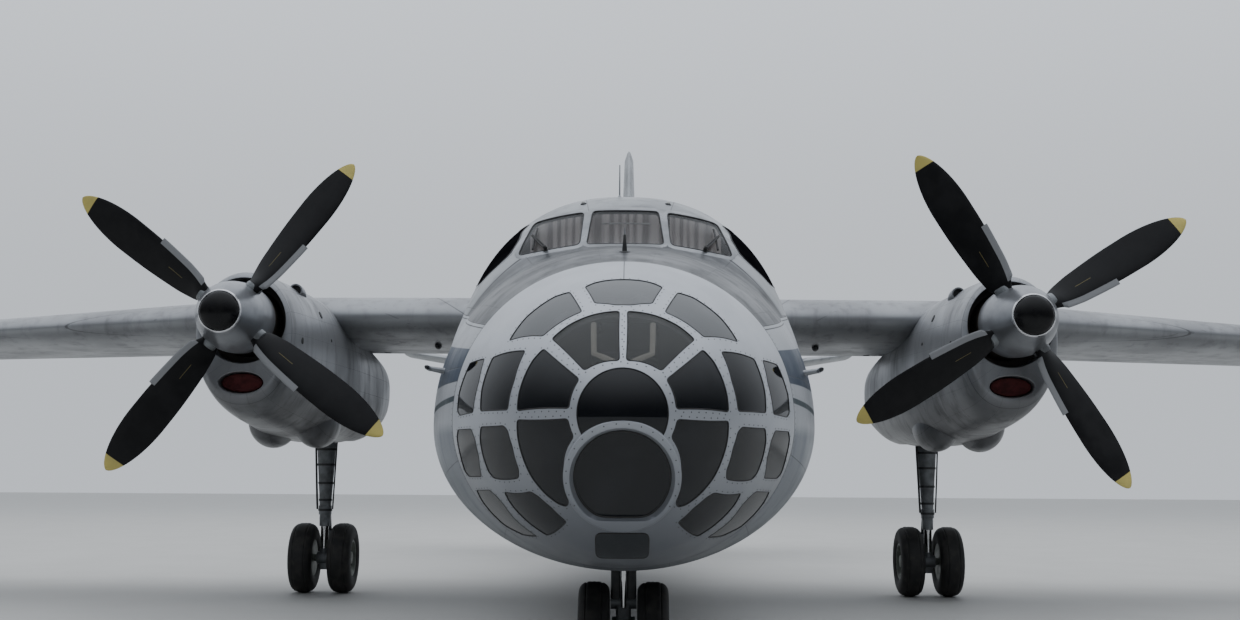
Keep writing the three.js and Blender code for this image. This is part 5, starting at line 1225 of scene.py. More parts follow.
def build_wipers():
    """Wiper on each front side pane: pivot, twin arm, and a blade that follows the glass."""
    arms, blades = Form(), Form()
    for _, side in SIDES:
        (x, z), (far_x, far_z) = WIPER["pivot"], WIPER["joint"]
        foot, pivot, joint = (on_front(side * x, z, -0.01), on_front(side * x, z, 0.03),
                              on_front(side * far_x, far_z, 0.03))
        post = [(0, 0.02), (0.012, 0.02), (0.018, 0.015), (0.05, 0.014), (0.056, 0.008)]
        arms.lathe(post, foot, pivot - foot, 20)
        along = unit(joint - pivot)
        out = np.cross(along, unit(pivot - foot)) * 0.008
        for way in (-1, 1):
            arms.tube([pivot + way * out - along * 0.02, (pivot + joint) / 2 + way * out,
                       joint + way * out * 0.4], 0.007, 8)
        share = np.linspace(0, 1, 9)
        (x0, z0), (x1, z1) = WIPER["blade"]
        blades.tube(on_front(side * (x0 + (x1 - x0) * share), z0 + (z1 - z0) * share, 0.014), 0.009, 8)
        blades.tube([joint, on_front(side * (x0 + x1) / 2, (z0 + z1) / 2, 0.014)], 0.008, 8)
    piece("wiper_arms", arms, "rubber")
    piece("wiper_blades", blades, "rubber")


def build_aerials():
    """Mast before the windshield, whip aerial and lamps on the roof, and a probe on each side."""
    dark, light, lens = Form(), Form(), Form()
    foot, lean, height = at(0, MAST["station"], MAST["z"]), (0, -0.1, 1), MAST["height"]
    dark.lathe([(-0.02, 0.044), (0.002, 0.044), (0.009, 0.036), (0.011, 0.018), (height * 0.72, 0.009),
                (height * 0.73, 0.004)], foot, lean, 32)
    light.lathe([(height * 0.7, 0.0058), (height * 0.98, 0.005), (height, 0.002)], foot, lean, 16)
    light.lathe([(3.85, 0.02), (3.92, 0.018), (3.935, 0.007), (WHIP["top"], 0.0045),
                 (WHIP["top"] + 0.003, 0.002)], at(WHIP["x"], WHIP["station"], 0), UP, 16)
    for _, side in SIDES:
        clock = math.radians(ROOF_LAMP["clock"] if side > 0 else 180 - ROOF_LAMP["clock"])
        spot = fuselage.point(ROOF_LAMP["station"], clock), fuselage.normal(ROOF_LAMP["station"], clock)
        dark.lathe([(-0.01, 0.026), (0.006, 0.026), (0.01, 0.02), (0.012, 0.016)], *spot, 24)
        lens.lathe([(0.008, 0.017), (0.014, 0.017), (0.022, 0.013), (0.026, 0.007), (0.027, 0.002)],
                   *spot, 24)
        width = fuselage.width_at(PROBE["station"], PROBE["z"])
        root = at(side * (width - 0.02), PROBE["station"], PROBE["z"])
        knee = root + (side * (PROBE["reach"] + 0.02), -0.02, 0.02)
        light.tube([root, root + (knee - root) * 0.5, knee], (0.024, 0.02, 0.017), 14)
        tip = knee + (0, -PROBE["length"], 0)
        light.tube([knee + (0, 0.05, 0), knee + (0, 0.03, 0), knee + (0, -0.12, 0)],
                   (0.008, 0.018, 0.0165), 14)
        dark.tube([knee + (0, -0.119, 0), (knee + tip) / 2 + (0, -0.04, 0), tip], (0.0166, 0.016, 0.009), 14)
    piece("skin_fittings", dark, "dark")
    piece("skin_aerials", light, "frame")
    piece("roof_lamps", lens, "lamp")


def add_seat(pads, metal, spec, side):
    """One seat: pan and back cushions on a tray, a back shell, side tubes and a pedestal."""
    x, y, floor = side * spec["x"], NOSE_Y + spec["station"], spec["floor"]
    half, depth, pan = SEAT["half"], SEAT["depth"], floor + SEAT["pan"]
    top = pan + SEAT["back"]
    pads.cushion((x - half, y - depth, pan + 0.012), (x + half, y + 0.19, pan + 0.105),
                 channels=(-0.4, 0, 0.4))
    pads.cushion((x - half + 0.01, y + 0.2, pan + 0.1), (x + half - 0.01, y + 0.3, top - 0.01),
                 plan=(0, 2), channels=(-0.5, -0.1, 0.3))
    metal.block((x - half, y - depth, pan + 0.002), (x + half, y + 0.2, pan + 0.022), 0.008)
    metal.block((x - half + 0.02, y + 0.29, pan + 0.02), (x + half - 0.02, y + 0.316, top - 0.03), 0.012)
    metal.lathe([(floor + 0.012, 0.1), (floor + 0.03, 0.1), (floor + 0.06, 0.06), (pan - 0.05, 0.055),
                 (pan - 0.01, 0.09), (pan + 0.006, 0.09)], (x, y, 0), UP, 40)
    for way in (-1, 1):
        edge = x + way * (half - 0.012)
        metal.tube([(edge, y - depth + 0.03, pan + 0.01), (edge, y + 0.18, pan + 0.012),
                    (edge, y + 0.27, pan + 0.07), (edge, y + 0.305, pan + 0.16),
                    (edge, y + 0.306, top - 0.06)], 0.009)


def build_seats():
    """Pilots' seats on their rails, the navigator's seat on the nose floor, and the panel's dials."""
    for who, node, spec, sides in (("pilot", "pilot_seats", PILOT_SEAT, (1, -1)),
                                   ("navigator", "navigator_seat", NAVIGATOR_SEAT, (1,))):
        pads, metal = Form(), Form()
        for side in sides:
            add_seat(pads, metal, spec, side)
            for way in spec["rails"]:
                x, y = side * spec["x"] + way, NOSE_Y + spec["station"]
                metal.block((x - 0.015, y - 0.2, spec["floor"] + 0.001),
                            (x + 0.015, y + 0.2, spec["floor"] + 0.024), 0.004)
        cushions = piece(f"{who}_cushions", pads, "seat", replaces=node, sharp=60)
        piece(spec["frame"], metal, "leg")
    station = np.linspace(NOSE_DECK["start"], NOSE_DECK["end"], 30)[:, None]
    loops = []
    for z in (NOSE_DECK["low"], NOSE_DECK["high"]):
        half = fuselage.width_at(station, z) - (FORWARD["wall"] + 0.006) * 1.5
        loops.append(np.stack([half * (1, -1), NOSE_Y + station + np.zeros((1, 2)), np.full((30, 2), z)], -1))
    floor = Form().grid(np.concatenate([loops[0], loops[1][:, ::-1]], 1), filled=True)
    piece("nose_floor", floor, "interior")
    rims, faces, size = Form(), Form(), DIALS["radius"]
    rim = [(-0.006, size), (0.003, size), (0.006, size - 0.004), (0.003, size - 0.007),
           (-0.006, size - 0.007)]
    face = [(-0.004, size - 0.008), (0.0005, size - 0.008), (0.001, size - 0.012)]
    for _, side in SIDES:
        for z in DIALS["rows"]:
            for x in DIALS["columns"]:
                place = at(side * x, DIALS["station"], z)
                rims.lathe(rim, place, AFT, 28)
                faces.lathe(face, place, AFT, 28)
    piece("dial_rims", rims, "rubber")
    piece("dial_faces", faces, "white")


def build_curtains():
    """Pleated curtains on a rail behind the windshield: the cloth's depth is a sine of its place
    along the rail, deeper towards the hem, and a slower sine makes the pleats uneven."""
    spec = CURTAINS

    def rail(x):
        return NOSE_Y + spec["station"] + spec["sweep"] * x * x, spec["top"] - spec["fall"] * x * x
    x = np.linspace(-spec["rail"], spec["rail"], 40)
    y, z = rail(x)
    rod = piece("curtain_rail", Form().tube(np.stack([x, y, z + 0.004], 1), 0.006, 10), "frame")
    for name, (start, end) in spec["spans"].items():
        across, down = np.linspace(start, end, 260)[:, None], np.linspace(0, 1, 24)[None]
        phase = across * 2 * np.pi / spec["pleat"] + 2.6 * np.sin(across * 13)
        wave = 0.021 * (0.75 + 0.25 * down) * np.sin(phase) + 0.007 * np.sin(phase * 0.37 + 2 * down)
        y, z = rail(across)
        front = np.stack([across + 0 * down, y + 0.012 + wave, z - 0.01 - down * spec["length"]], -1)
        back = front[:, ::-1] + (0, spec["thick"], 0)
        # Painted light and shade of the pleats: 1 on the ridges, which face forwards, 0 in the valleys
        ridge = np.broadcast_to(0.5 - 0.5 * np.sin(phase), front.shape[:2])
        cloth = Form().grid(np.concatenate([front, back], 1), filled=True,
                            ridge=np.hstack([ridge, ridge[:, ::-1]]))
        cloth = piece(f"curtain_{name}", cloth, "curtain", sharp=80)
    bar = [at(-0.19, 3.24, 3.545), at(0, 3.24, 3.547), at(0.2, 3.24, 3.545)]
    piece("sun_bar", Form().tube(bar, 0.007, 10), "white")


def cabin_ports(stretch):
    """Round cabin windows in a stretch of the fuselage."""
    circle = CABIN_WINDOW["radius"] * np.stack([np.cos(turns(48)), np.sin(turns(48))], 1)
    return [Opening(circle + (station, CABIN_WINDOW["z"]), side_lay(side))
            for name, side in SIDES for station in CABIN_WINDOW[name]
            if stretch["start"] < station < stretch["end"]]


def build_ports(name, ports):
    """Glass and frame ring of each cabin window."""
    glass, rings = Form(), Form()
    for port in ports:
        port.plug(glass, *GLAZING["cabin"]["glass"], PANE_FIT)
        port.bead(rings, *GLAZING["cabin"]["frame"])
    piece(name, glass, "glass")
    piece(f"{name}_rings", rings, "frame")


def door_leaf(door, side):
    """Leaf of a door and the doorway round it, as openings."""
    start, end, low, high, gap, _ = door.values()
    inner = rectangle(start + gap, end - gap, low + gap, high - gap)
    outer = rectangle(start, end, low, high)
    return [Opening(rounded(shape, radius, 96), side_lay(side))
            for shape, radius in ((inner, 0.05), (outer, 0.055))]


def build_cabin():
    """Cabin with the freight door, its hinge and the camera panels."""
    cargo, cargo_way = door_leaf(CARGO_DOOR, -1)
    ports = cabin_ports(CENTRE)
    half, reach, gap = CAMERA_PANEL.values()
    way = rectangle(-half, half, CAMERA_ROW[0][1], CAMERA_ROW[-1][3])
    holes = cargo_way.plug(Form(), -0.1, 0.3, rings=10)
    Opening(rounded(way, 0.012, 200), belly_lay).plug(holes, -0.1, 0.2, rings=10)
    for port in ports:
        port.plug(holes, *GLAZING["cabin"]["cut"])
    piece("centre_skin", carve(fuselage_tube(CENTRE, 90, 220), "centre_skin", holes), "skin",
          replaces="centre_fuselage", skin=fuselage)
    build_ports("centre_ports", ports)
    piece("freight_door", cargo.plug(Form(), 0, CARGO_DOOR["thick"], rings=16), "skin", "cargo_door",
          "cargo_door", skin=fuselage)
    hinge_z = CARGO_DOOR["high"] - 0.008
    hinge_x = -max(fuselage.width_at(s, hinge_z) for s in (CARGO_DOOR["start"], CARGO_DOOR["end"]))
    knuckles, door_knuckles = Form(), Form()
    knuckle = [(-0.03, 0), (-0.03, 0.012), (-0.027, 0.0155), (0.027, 0.0155), (0.03, 0.012), (0.03, 0)]
    for station in DOOR_HINGE["stations"]:
        for step, form in ((-1, knuckles), (0, door_knuckles), (1, knuckles)):
            form.lathe(knuckle, at(hinge_x, station + step * DOOR_HINGE["pitch"], hinge_z), AFT, 24)
    piece("door_hinges", knuckles, "frame")
    piece("door_hinge_leaves", door_knuckles, "frame", "cargo_door")

    rims = Form()
    for letter, first, middle, last in CAMERA_ROW:
        plate = rectangle(gap - half, half - gap, first + gap, last - gap)
        plate = Opening(rounded(plate, 0.012, 120), belly_lay).plug(Form(), 0.0, 0.078, rings=12)
        hole = Opening(rounded(rectangle(-reach, reach, middle - reach, middle + reach), 0.02, 64), belly_lay)
        hole.bead(rims, 0.02, 0.005, 0.014)
        leaf = carve(plate, "camera_hatch", hole.plug(Form(), -0.05, 0.15))
        piece(f"camera_hatch_{letter}", leaf, "skin", replaces=f"camera_panel_{letter}",
              skin=fuselage)
    piece("camera_rims", rims, "frame")


def build_rear():
    """Rear fuselage with the entry door, and the tail cone: a closed skin round a closed hollow."""
    entry, entry_way = door_leaf(ENTRY_DOOR, 1)
    ports = cabin_ports(REAR)
    holes = entry_way.plug(Form(), -0.1, 0.2, rings=10)
    for port in ports:
        port.plug(holes, *GLAZING["cabin"]["rear_cut"])
    piece("rear_skin", carve(fuselage_tube(REAR, 60, 200), "rear_skin", holes), "skin",
          replaces="rear_fuselage", skin=fuselage)
    build_ports("rear_ports", ports)
    piece("entry_leaf", entry.plug(Form(), 0, ENTRY_DOOR["thick"], rings=16), "skin", replaces="entry_door",
          skin=fuselage)
    station, angle = np.linspace(TAIL_CONE["start"], TAIL_CONE["end"], 60)[:, None], turns(120)[None]
    outer, inner = fuselage.point(station, angle), fuselage.inset_at(station[:-4], angle, TAIL_CONE["wall"])
    cone = Form()
    for skin in (outer, inner):
        cone.grid(np.concatenate([skin, skin[-1:].mean(1, keepdims=True).repeat(120, 1)]))
    cone.grid([outer[0], inner[0]])
    piece("tail_cone_skin", cone, "skin", replaces="tail_cone")


class Section:
    """Airfoil section at one place along a lifting surface's span. Its points are in the section's
    own plane: aft of the leading edge and up from it."""

    def __init__(self, plan, span):
        rows = np.array(plan["rows"], float)
        self.span, self.plan = span, plan
        self.station, self.height, self.chord, self.thickness = (
            np.interp(span, rows[:, 0], rows[:, k]) for k in (1, 2, 3, 4))

    def side(self, x, sign):
        """Points of the upper or lower skin: half the thickness off a camber line 4 c x (1 - x)."""
        x = np.atleast_1d(np.asarray(x, float))
        camber = 4 * self.plan["camber"] * self.chord * x * (1 - x)
        return np.stack([x * self.chord, camber + sign * self.thickness * self.chord * airfoil_half(x)], -1)

    def outline(self, count=40):
        """Over the top from the trailing edge to the leading edge and back below."""
        x = TRAILING * (1 - np.cos(np.linspace(0, np.pi, count))) / 2
        return np.vstack([self.side(x[::-1], 1), self.side(x[1:], -1)])

    def place(self, flat):
        """Puts section points in the aircraft: wings lie along X, fins stand along Z."""
        pitch = math.radians(self.plan["incidence"])
        station = self.station + flat[:, 0] * math.cos(pitch) + flat[:, 1] * math.sin(pitch)
        height = flat[:, 1] * math.cos(pitch) - flat[:, 0] * math.sin(pitch)
        span = np.full(len(flat), self.span)
        if self.plan["standing"]:
            return np.stack([height, NOSE_Y + station, span], 1)
        return np.stack([span, NOSE_Y + station, self.height + height], 1)


def spans_between(plan, start, end, step=0.45):
    """Places along the span: the table's own rows and even steps between them."""
    marks = [start, *(row[0] for row in plan["rows"] if start + 0.001 < row[0] < end - 0.001), end]
    runs = [np.linspace(a, b, max(2, math.ceil((b - a) / step) + 1))[:-1] for a, b in zip(marks, marks[1:])]
    return np.concatenate([*runs, [end]])


def surface(plan, start, end, tip=False):
    """Loft of sections. A tip is rounded: its last sections thin to nothing along a quarter circle."""
    rows = []
    for span in spans_between(plan, start, end):
        section = Section(plan, span)
        rows.append(section.place(section.outline()))
    if tip:
        section = Section(plan, end)
        reach = section.thickness * section.chord * 0.35
        rows.pop()
        for turn in np.linspace(0, np.pi / 2, 7):
            edge = Section(plan, end - reach * (1 - math.sin(turn)))
            edge.thickness *= max(math.cos(turn), 0.02)
            rows.append(edge.place(edge.outline()))
    return Form().grid(rows, filled=True)


def arc_points(centre, radius, start, end, steps):
    angle = np.radians(np.linspace(start, end, steps))
    return np.asarray(centre) + radius * np.stack([np.cos(angle), np.sin(angle)], 1)


def control(plan, spec, flap=False):
    """Hinged rear part of a surface with its cove. A flap turns about its lower skin and has a
    quarter-round nose, any other control turns about its middle and has a half-round one. Each
    carries a hinge pin at both ends."""
    def hinge_at(span):
        section = Section(plan, span)
        top, foot = section.side(spec["hinge"], 1)[0], section.side(spec["hinge"], -1)[0]
        depth = top[1] - foot[1]
        centre = foot if flap else np.array([top[0], (top[1] + foot[1]) / 2])
        return section, centre, depth if flap else depth / 2

    def nose(centre, radius):
        return arc_points(centre, radius, 90, 180 if flap else 270, 14)
    aft = np.linspace(spec["hinge"] + 0.015, TRAILING, 14)
    moving = []
    for span in spans_between(plan, spec["start"], spec["end"]):
        section, centre, radius = hinge_at(span)
        below = section.side(aft, -1)
        if flap:
            below = np.vstack([centre[None], below])
        outline = np.vstack([section.side(aft[::-1], 1), nose(centre, radius), below])
        moving.append(section.place(outline))
    coves, beyond = [], 0.2
    for span in spans_between(plan, spec["start"] - spec["margin"], spec["end"] + spec["margin"]):
        section, centre, radius = hinge_at(span)
        reach = radius + spec["gap"]
        high, low = centre[1] + reach + beyond, centre[1] - (0 if flap else reach) - beyond
        back = section.chord + beyond
        foot = (centre[0] - reach, low) if flap else (centre[0], low)
        outline = np.vstack([(back, high), (centre[0], high), nose(centre, reach), foot, (back, low)])
        coves.append(section.place(outline))
    ends = [section.place(centre[None])[0]
            for section, centre, _ in map(hinge_at, (spec["start"], spec["end"]))]
    form = Form().grid(moving, filled=True)
    direction = unit(ends[1] - ends[0])
    # A pin leans with the hinge line, so it ends short by its radius times the line's slope
    cosine = abs(direction[2 if plan["standing"] else 0])
    out = (spec["margin"] - 0.001) / cosine - 0.012 * math.sqrt(1 - cosine ** 2) / cosine
    for place, way in ((ends[0], -direction), (ends[1], direction)):
        form.tube([place - way * 0.06, place + way * out], 0.011, 16)
    return form, Form().grid(coves, filled=True)


def build_wings():
    """Wings with their flaps and ailerons, and a drain under each."""
    inner_flap, inner_cove = control(WING, INNER_FLAP, flap=True)
    outer_flap, outer_cove = control(WING, OUTER_FLAP, flap=True)
    aileron, aileron_cove = control(WING, AILERON)
    half = spans_between(WING, 0, JOINT_X)
    rows = []
    for span in np.concatenate([-half[:0:-1], half]):
        section = Section(WING, abs(span))
        points = section.place(section.outline())
        points[:, 0] = span
        rows.append(points)
    drains = Form()
    section = Section(WING, DRAIN["x"])
    under = section.place(section.side((DRAIN["station"] - section.station) / section.chord, -1))[0]
    for _, side in SIDES:
        drains.grid(ball(21, 32) * DRAIN["radii"] + (side * under[0], under[1], under[2] - 0.012))
    piece("wing_drains", drains, "dark")
    centre = carve(Form().grid(rows, filled=True), "wing_box", inner_cove, inner_cove.on_side(-1))
    piece("wing_box", centre, "wing", replaces="wing_centre")
    for name, side in SIDES:
        panel = surface(WING, JOINT_X + 0.0005, HALF_SPAN, tip=True).on_side(side)
        panel = carve(panel, "wing_panel", outer_cove.on_side(side), aileron_cove.on_side(side))
        piece(f"wing_panel_{name}", panel, "wing", replaces=f"wing_outer_{name}")
        for kind, form in (("flap_inner", inner_flap), ("flap_outer", outer_flap), ("aileron", aileron)):
            node = f"{kind}_{name}"
            piece(f"{kind}_skin_{name}", form.on_side(side), "wing", node, node)


def build_tail():
    """Fin, rudder, tailplane, elevators and the fin below."""
    rudder, rudder_cove = control(FIN, RUDDER)
    elevator, elevator_cove = control(TAILPLANE, ELEVATOR)
    fin = carve(surface(FIN, FIN["rows"][0][0], FIN_TOP, tip=True), "fin_skin", rudder_cove)
    piece("fin_skin", fin, "tail", replaces="fin")
    piece("dorsal_fin", surface(DORSAL, 3.3, 4.65), "tail")
    piece("rudder_skin", rudder, "tail", "rudder", "rudder")
    piece("ventral_skin", surface(VENTRAL, 1.93, 2.9), "tail", replaces="ventral_fin")
    for name, side in SIDES:
        plane = surface(TAILPLANE, 0.2, 4.54, tip=True).on_side(side)
        plane = carve(plane, "tailplane_skin", elevator_cove.on_side(side))
        piece(f"tailplane_skin_{name}", plane, "tail", replaces=f"tailplane_{name}")
        node = f"elevator_{name}"
        piece(f"elevator_skin_{name}", elevator.on_side(side), "tail", node, node)


def cooler_form(x, rows):
    """Upright ellipses round the oil cooler's axis, by station and by how much each is grown from
    the cooler's own ellipse across and up."""
    angle = turns(96)
    half, height = OIL_COOLER["half"], OIL_COOLER["height"]
    return Form().grid([at(x, station, OIL_COOLER["z"]) + np.stack(
        [(half + wider) * np.cos(angle), 0 * angle, (height + higher) * np.sin(angle)], -1)
        for station, wider, higher in rows], filled=True)


def build_cowl(name, side):
    """Cowl with its rolled lip, its round mouth, the intake ring in it and the plugged oil cooler."""
    body, x, count = pods[name], side * NACELLE_X, 160
    angle = turns(count)[None]
    lip = np.array([(6.7502, 0.05), (6.7506, 0.034), (6.752, 0.02), (6.757, 0.01), (6.768, 0.003)])
    stations = np.concatenate([lip[:, 0], np.linspace(6.79, COWL["end"], 40)])[:, None]
    sunk = np.concatenate([lip[:, 1], np.zeros(40)])[:, None]
    flat = body.normal(np.full((len(stations), 1), 6.8), angle)
    flat[..., 1] = 0
    outer = body.point(stations, angle) - unit(flat) * sunk[..., None]
    inner = body.inset_at(np.linspace(7.05, COWL["end"], 8)[:, None], angle, COWL["wall"])
    front, back = (rings[:1].mean(1, keepdims=True).repeat(count, 1) for rings in (outer, inner))
    cowl = Form().grid(np.concatenate([front, outer, inner[::-1], back]))
    centre = (x, NOSE_Y, COWL["z"])
    mouth = Form().lathe([(6.6, 0.458), (6.745, 0.456), (6.752, 0.447), (6.765, 0.4405),
                          (6.79, COWL["mouth"]), (7.2, COWL["mouth"])], centre, AFT, 128)
    cooler = cooler_form(x, [(6.6, 0.02, 0.02), (6.748, 0.016, 0.016), (6.756, 0.006, 0.006), (6.775, 0, 0),
                             (7.2, -0.01, -0.01)])
    piece(f"cowl_skin_{name}", carve(cowl, "cowl_skin", mouth, cooler), f"pod_{name}",
          replaces=f"cowl_{name}", skin=body)
    build_cowl_details(name, side)
    # Annular intake: its floor, wall and the fixed ring behind the spinner
    intake = Form().lathe([(6.72, 0.335), (6.73, 0.345), (6.9, 0.34), (7.04, 0.36), (7.045, 0.4375),
                           (7.09, 0.4375), (7.09, 0.3)], centre, AFT, 96)
    piece(f"intake_{name}", intake, "duct")
    plug = cooler_form(x, [(station, -0.012 - inward, -0.01 - inward) for station, inward in (
        (6.812, 0.05), (6.803, 0.03), (6.806, 0.008), (6.82, 0.0), (6.9, 0.0))])
    piece(f"cooler_plug_{name}", plug, "red")


def build_nacelle(name, side):
    """Nacelle with its gear bay, the two bulges under it for the wheels, and the exhaust pipe."""
    body, x, joint = pods[name], side * NACELLE_X, COWL["end"] + 0.0006
    stations = np.linspace(joint, POD[-1][0], 90)[:, None]
    nacelle = Form().grid(body.point(stations, turns(140)[None]), filled=True)
    bay = Form().block(at(x - GEAR_BAY["half"], GEAR_BAY["start"], 1.5),
                       at(x + GEAR_BAY["half"], GEAR_BAY["end"], GEAR_BAY["top"]), 0.02)
    piece(f"nacelle_skin_{name}", carve(nacelle, "nacelle_skin", bay), f"pod_{name}",
          replaces=f"nacelle_{name}", skin=body)
    bulges = Form()
    for way in (-1, 1):
        bulges.grid(ball(40, 64) * BULGE["radii"] + at(x + way * BULGE["x"], BULGE["station"], BULGE["z"]))
    ahead = Form().block(at(x - 1, 8, 1), at(x + 1, joint, 4), 0.01)
    piece(f"wheel_bulges_{name}", carve(bulges, "wheel_bulges", ahead), f"pod_{name}")

    start, end = (at(x + side * EXHAUST["x"][k], EXHAUST["station"][k], EXHAUST["z"][k]) for k in (0, 1))
    way = unit(end - start)
    level = unit(np.cross(way, UP))
    upright = np.cross(level, way)
    angle = turns(48)[:, None]
    # Rings of the pipe: share of its length, and what is added to its radii
    rings = ((0, 0), (0.5, 0), (0.97, 0), (1, -0.004), (1, -0.014), (0.95, -0.018), (0.25, -0.018))
    pipe = []
    for share, grow in rings:
        wide, high = np.array(EXHAUST["radii"]) + grow
        oval = wide * np.cos(angle) * level + high * np.sin(angle) * upright
        pipe.append(start + (end - start) * share + oval)
    piece(f"exhaust_pipe_{name}", Form().grid(pipe, filled=True), "soot", replaces=f"exhaust_{name}")


def build_cowl_details(name, side):
    """Forward-facing scoop and round vents on the inboard side of a cowl. The vents are dark discs of
    painted shade, and a dark sheet of painted shade closes the scoop behind its opening. The scoop
    is a half ellipse of rings over the skin, whose height falls away aft as a quarter circle."""
    body, spec = pods[name], COWL_SCOOP

    def spot(station, degrees):
        clock = math.radians(180 - degrees if side > 0 else degrees)
        return body.point(station, clock), body.normal(station, clock)
    half_turn = np.linspace(0, np.pi, 25)
    rings, mouths = [], []
    for share in np.linspace(0, 1, 24):
        place, normal = spot(spec["start"] + (spec["end"] - spec["start"]) * share, spec["clock"])
        across = unit(np.cross(normal, AFT))
        fall = math.sqrt(max(1 - share ** 2.2, 0.0)) + 0.02
        foot = [[-1, -0.6], [1, -0.6]]
        arch = np.concatenate([np.stack([np.cos(half_turn), np.sin(half_turn) * fall], 1), foot])
        arch = arch[:, :1] * spec["half"] * (0.8 + 0.2 * fall) * across, arch[:, 1:] * spec["height"] * normal
        rings.append(place + arch[0] + arch[1])
        if share < 0.2:
            mouths.append(place + arch[0] * 0.8 + arch[1] * 0.78)
    mouth = Form().grid([mouths[0] - (0, 0.05, 0), *mouths], filled=True)
    piece(f"cowl_scoop_{name}", carve(Form().grid(rings, filled=True), "cowl_scoop", mouth), f"pod_{name}")
    # Painted shade: a dark sheet inside the scoop's mouth and dark discs on the skin stand for the shade in
    # the holes
    vents = Form().grid([mouths[-2] - (0, 0.002, 0), mouths[-2] + (0, 0.004, 0)], filled=True)
    for station, degrees, radius in COWL_HOLES:
        vents.lathe([(-0.01, radius), (0.006, radius), (0.0066, radius * 0.92)], *spot(station, degrees), 28)
    piece(f"cowl_vents_{name}", vents, "rubber")


def build_blade(angle, centre):
    """One blade as a grid of sections over the radius. Each section blends from a circle at the root
    to an airfoil with its leading edge towards the turning side. Beyond two thirds the chord shrinks
    as (1 - t squared)^0.6 towards the tip."""
    reach, edge = PROPELLER["radius"], BOOT["end"]
    radius = np.concatenate([
        np.linspace(0.1, 0.39, 8), np.linspace(0.4, edge, 20), [edge + 0.003],
        np.linspace(edge + 0.03, 1.85, 24), np.linspace(1.86, reach, 14)])
    chord, thick, pitch = (smooth_curve(BLADE, k, root=False)(radius)[:, None] for k in (1, 2, 3))
    radius = radius[:, None]
    near_tip = np.clip((radius - 1.3) / (reach - 1.3), 0, 1)
    chord = chord * (1 - near_tip ** 2) ** 0.6 + 0.0005
    around = turns(56)[None]
    share = (1 - np.cos(around)) / 2
    booted = (radius > BOOT["start"]) & (radius <= edge)
    foil_along = (0.5 - share) * chord + booted * BOOT["width"] * np.clip(1 - share / 0.05, 0, 1)
    foil_through = np.where(np.sin(around) > 0, 1.45, -0.55) * thick * airfoil_half(share)
    blend = np.clip((radius - 0.34) / 0.1, 0, 1)
    blend = blend * blend * (3 - 2 * blend)
    along = chord / 2 * np.cos(around) * (1 - blend) + foil_along * blend
    through = -(thick / 2 * np.sin(around) * (1 - blend) + foil_through * blend)
    turn, swing = np.radians(pitch), math.radians(90 - angle)
    sine, cosine = math.sin(swing), math.cos(swing)
    x = along * np.cos(turn) + through * np.sin(turn)
    y = -along * np.sin(turn) + through * np.cos(turn)
    z = np.broadcast_to(radius, x.shape)
    points = np.stack([x * cosine + z * sine, y, z * cosine - x * sine], -1)
    return points + centre, z, np.broadcast_to(share, x.shape)


def build_propeller(name, side):
    """Four blades, their root cuffs, the spinner and its dome."""
    centre = at(side * NACELLE_X, PROPELLER["station"], COWL["z"])
    hub, body = (centre[0], NOSE_Y, COWL["z"]), f"propeller_{name}"
    blades, cuffs = Form(), Form()
    cuff = [(0.3, 0.066), (0.3, 0.088), (0.372, 0.086), (0.385, 0.08), (0.39, 0.0665)]
    for k in range(4):
        angle = BLADE_ANGLE[name] + 90 * k
        points, radius, share = build_blade(angle, centre)
        blades.grid(points, filled=True, blade_radius=radius, chord_share=share)
        cuffs.lathe(cuff, centre, (math.cos(math.radians(angle)), 0, math.sin(math.radians(angle))), 40)
    piece(f"blades_{name}", blades, "blade", body, body)
    piece(f"blade_cuffs_{name}", cuffs, "leg", body)
    origin = 6.7
    profile = smooth_curve([(origin - s, r) for s, r in SPINNER], 1, root=False)
    skin = [(s, float(profile(origin - s))) for s in np.linspace(SPINNER[0][0], SPINNER[-1][0], 48)]
    shape = [(6.688, 0.3), *skin, (5.848, 0.2), (5.858, 0.19), (5.9, 0.18)]
    piece(f"spinner_shell_{name}", Form().lathe(shape, hub, AFT, 96), "spinner", body, f"spinner_{name}")
    swell = [(DOME["station"] - DOME["height"] * math.sin(t), DOME["radius"] * math.cos(t))
             for t in np.linspace(0, np.pi / 2, 14)]
    dome = Form().lathe([(5.9, DOME["radius"]), *swell], hub, AFT, 72)
    piece(f"spinner_dome_{name}", dome, "dome", body)


def tyre_form(gear, x):
    """Tyre profile: a superellipse with bulged sides down to the rim, and four grooves round its
    running face as narrow bell curves."""
    radius, rim, half = gear["radius"], gear["rim"], gear["width"] / 2
    turn = np.linspace(-0.82, 0.82, 61) * np.pi
    bulge = (radius - rim * 0.86) / 2
    along = half * signed_power(np.sin(turn), 0.8)
    reach = radius - bulge + bulge * signed_power(np.cos(turn), 0.72)
    for groove in (-0.5, -0.17, 0.17, 0.5):
        reach = reach - 0.008 * np.exp(-((along / half - groove) / 0.035) ** 2) * (np.cos(turn) > 0)
    keep = reach > rim * 0.98
    profile = np.stack([along[keep], np.minimum(reach[keep], radius)], 1)
    loop = np.vstack([profile, profile[::-1] * (0.8, 1) - (0, 0.03)])
    along, reach, angle = loop[:, :1], loop[:, 1:], turns(96)
    rows = np.stack([along + 0 * angle, reach * np.cos(angle), reach * np.sin(angle)], -1)
    return Form().grid(rows + at(x, gear["station"], gear["z"]), closed=True)


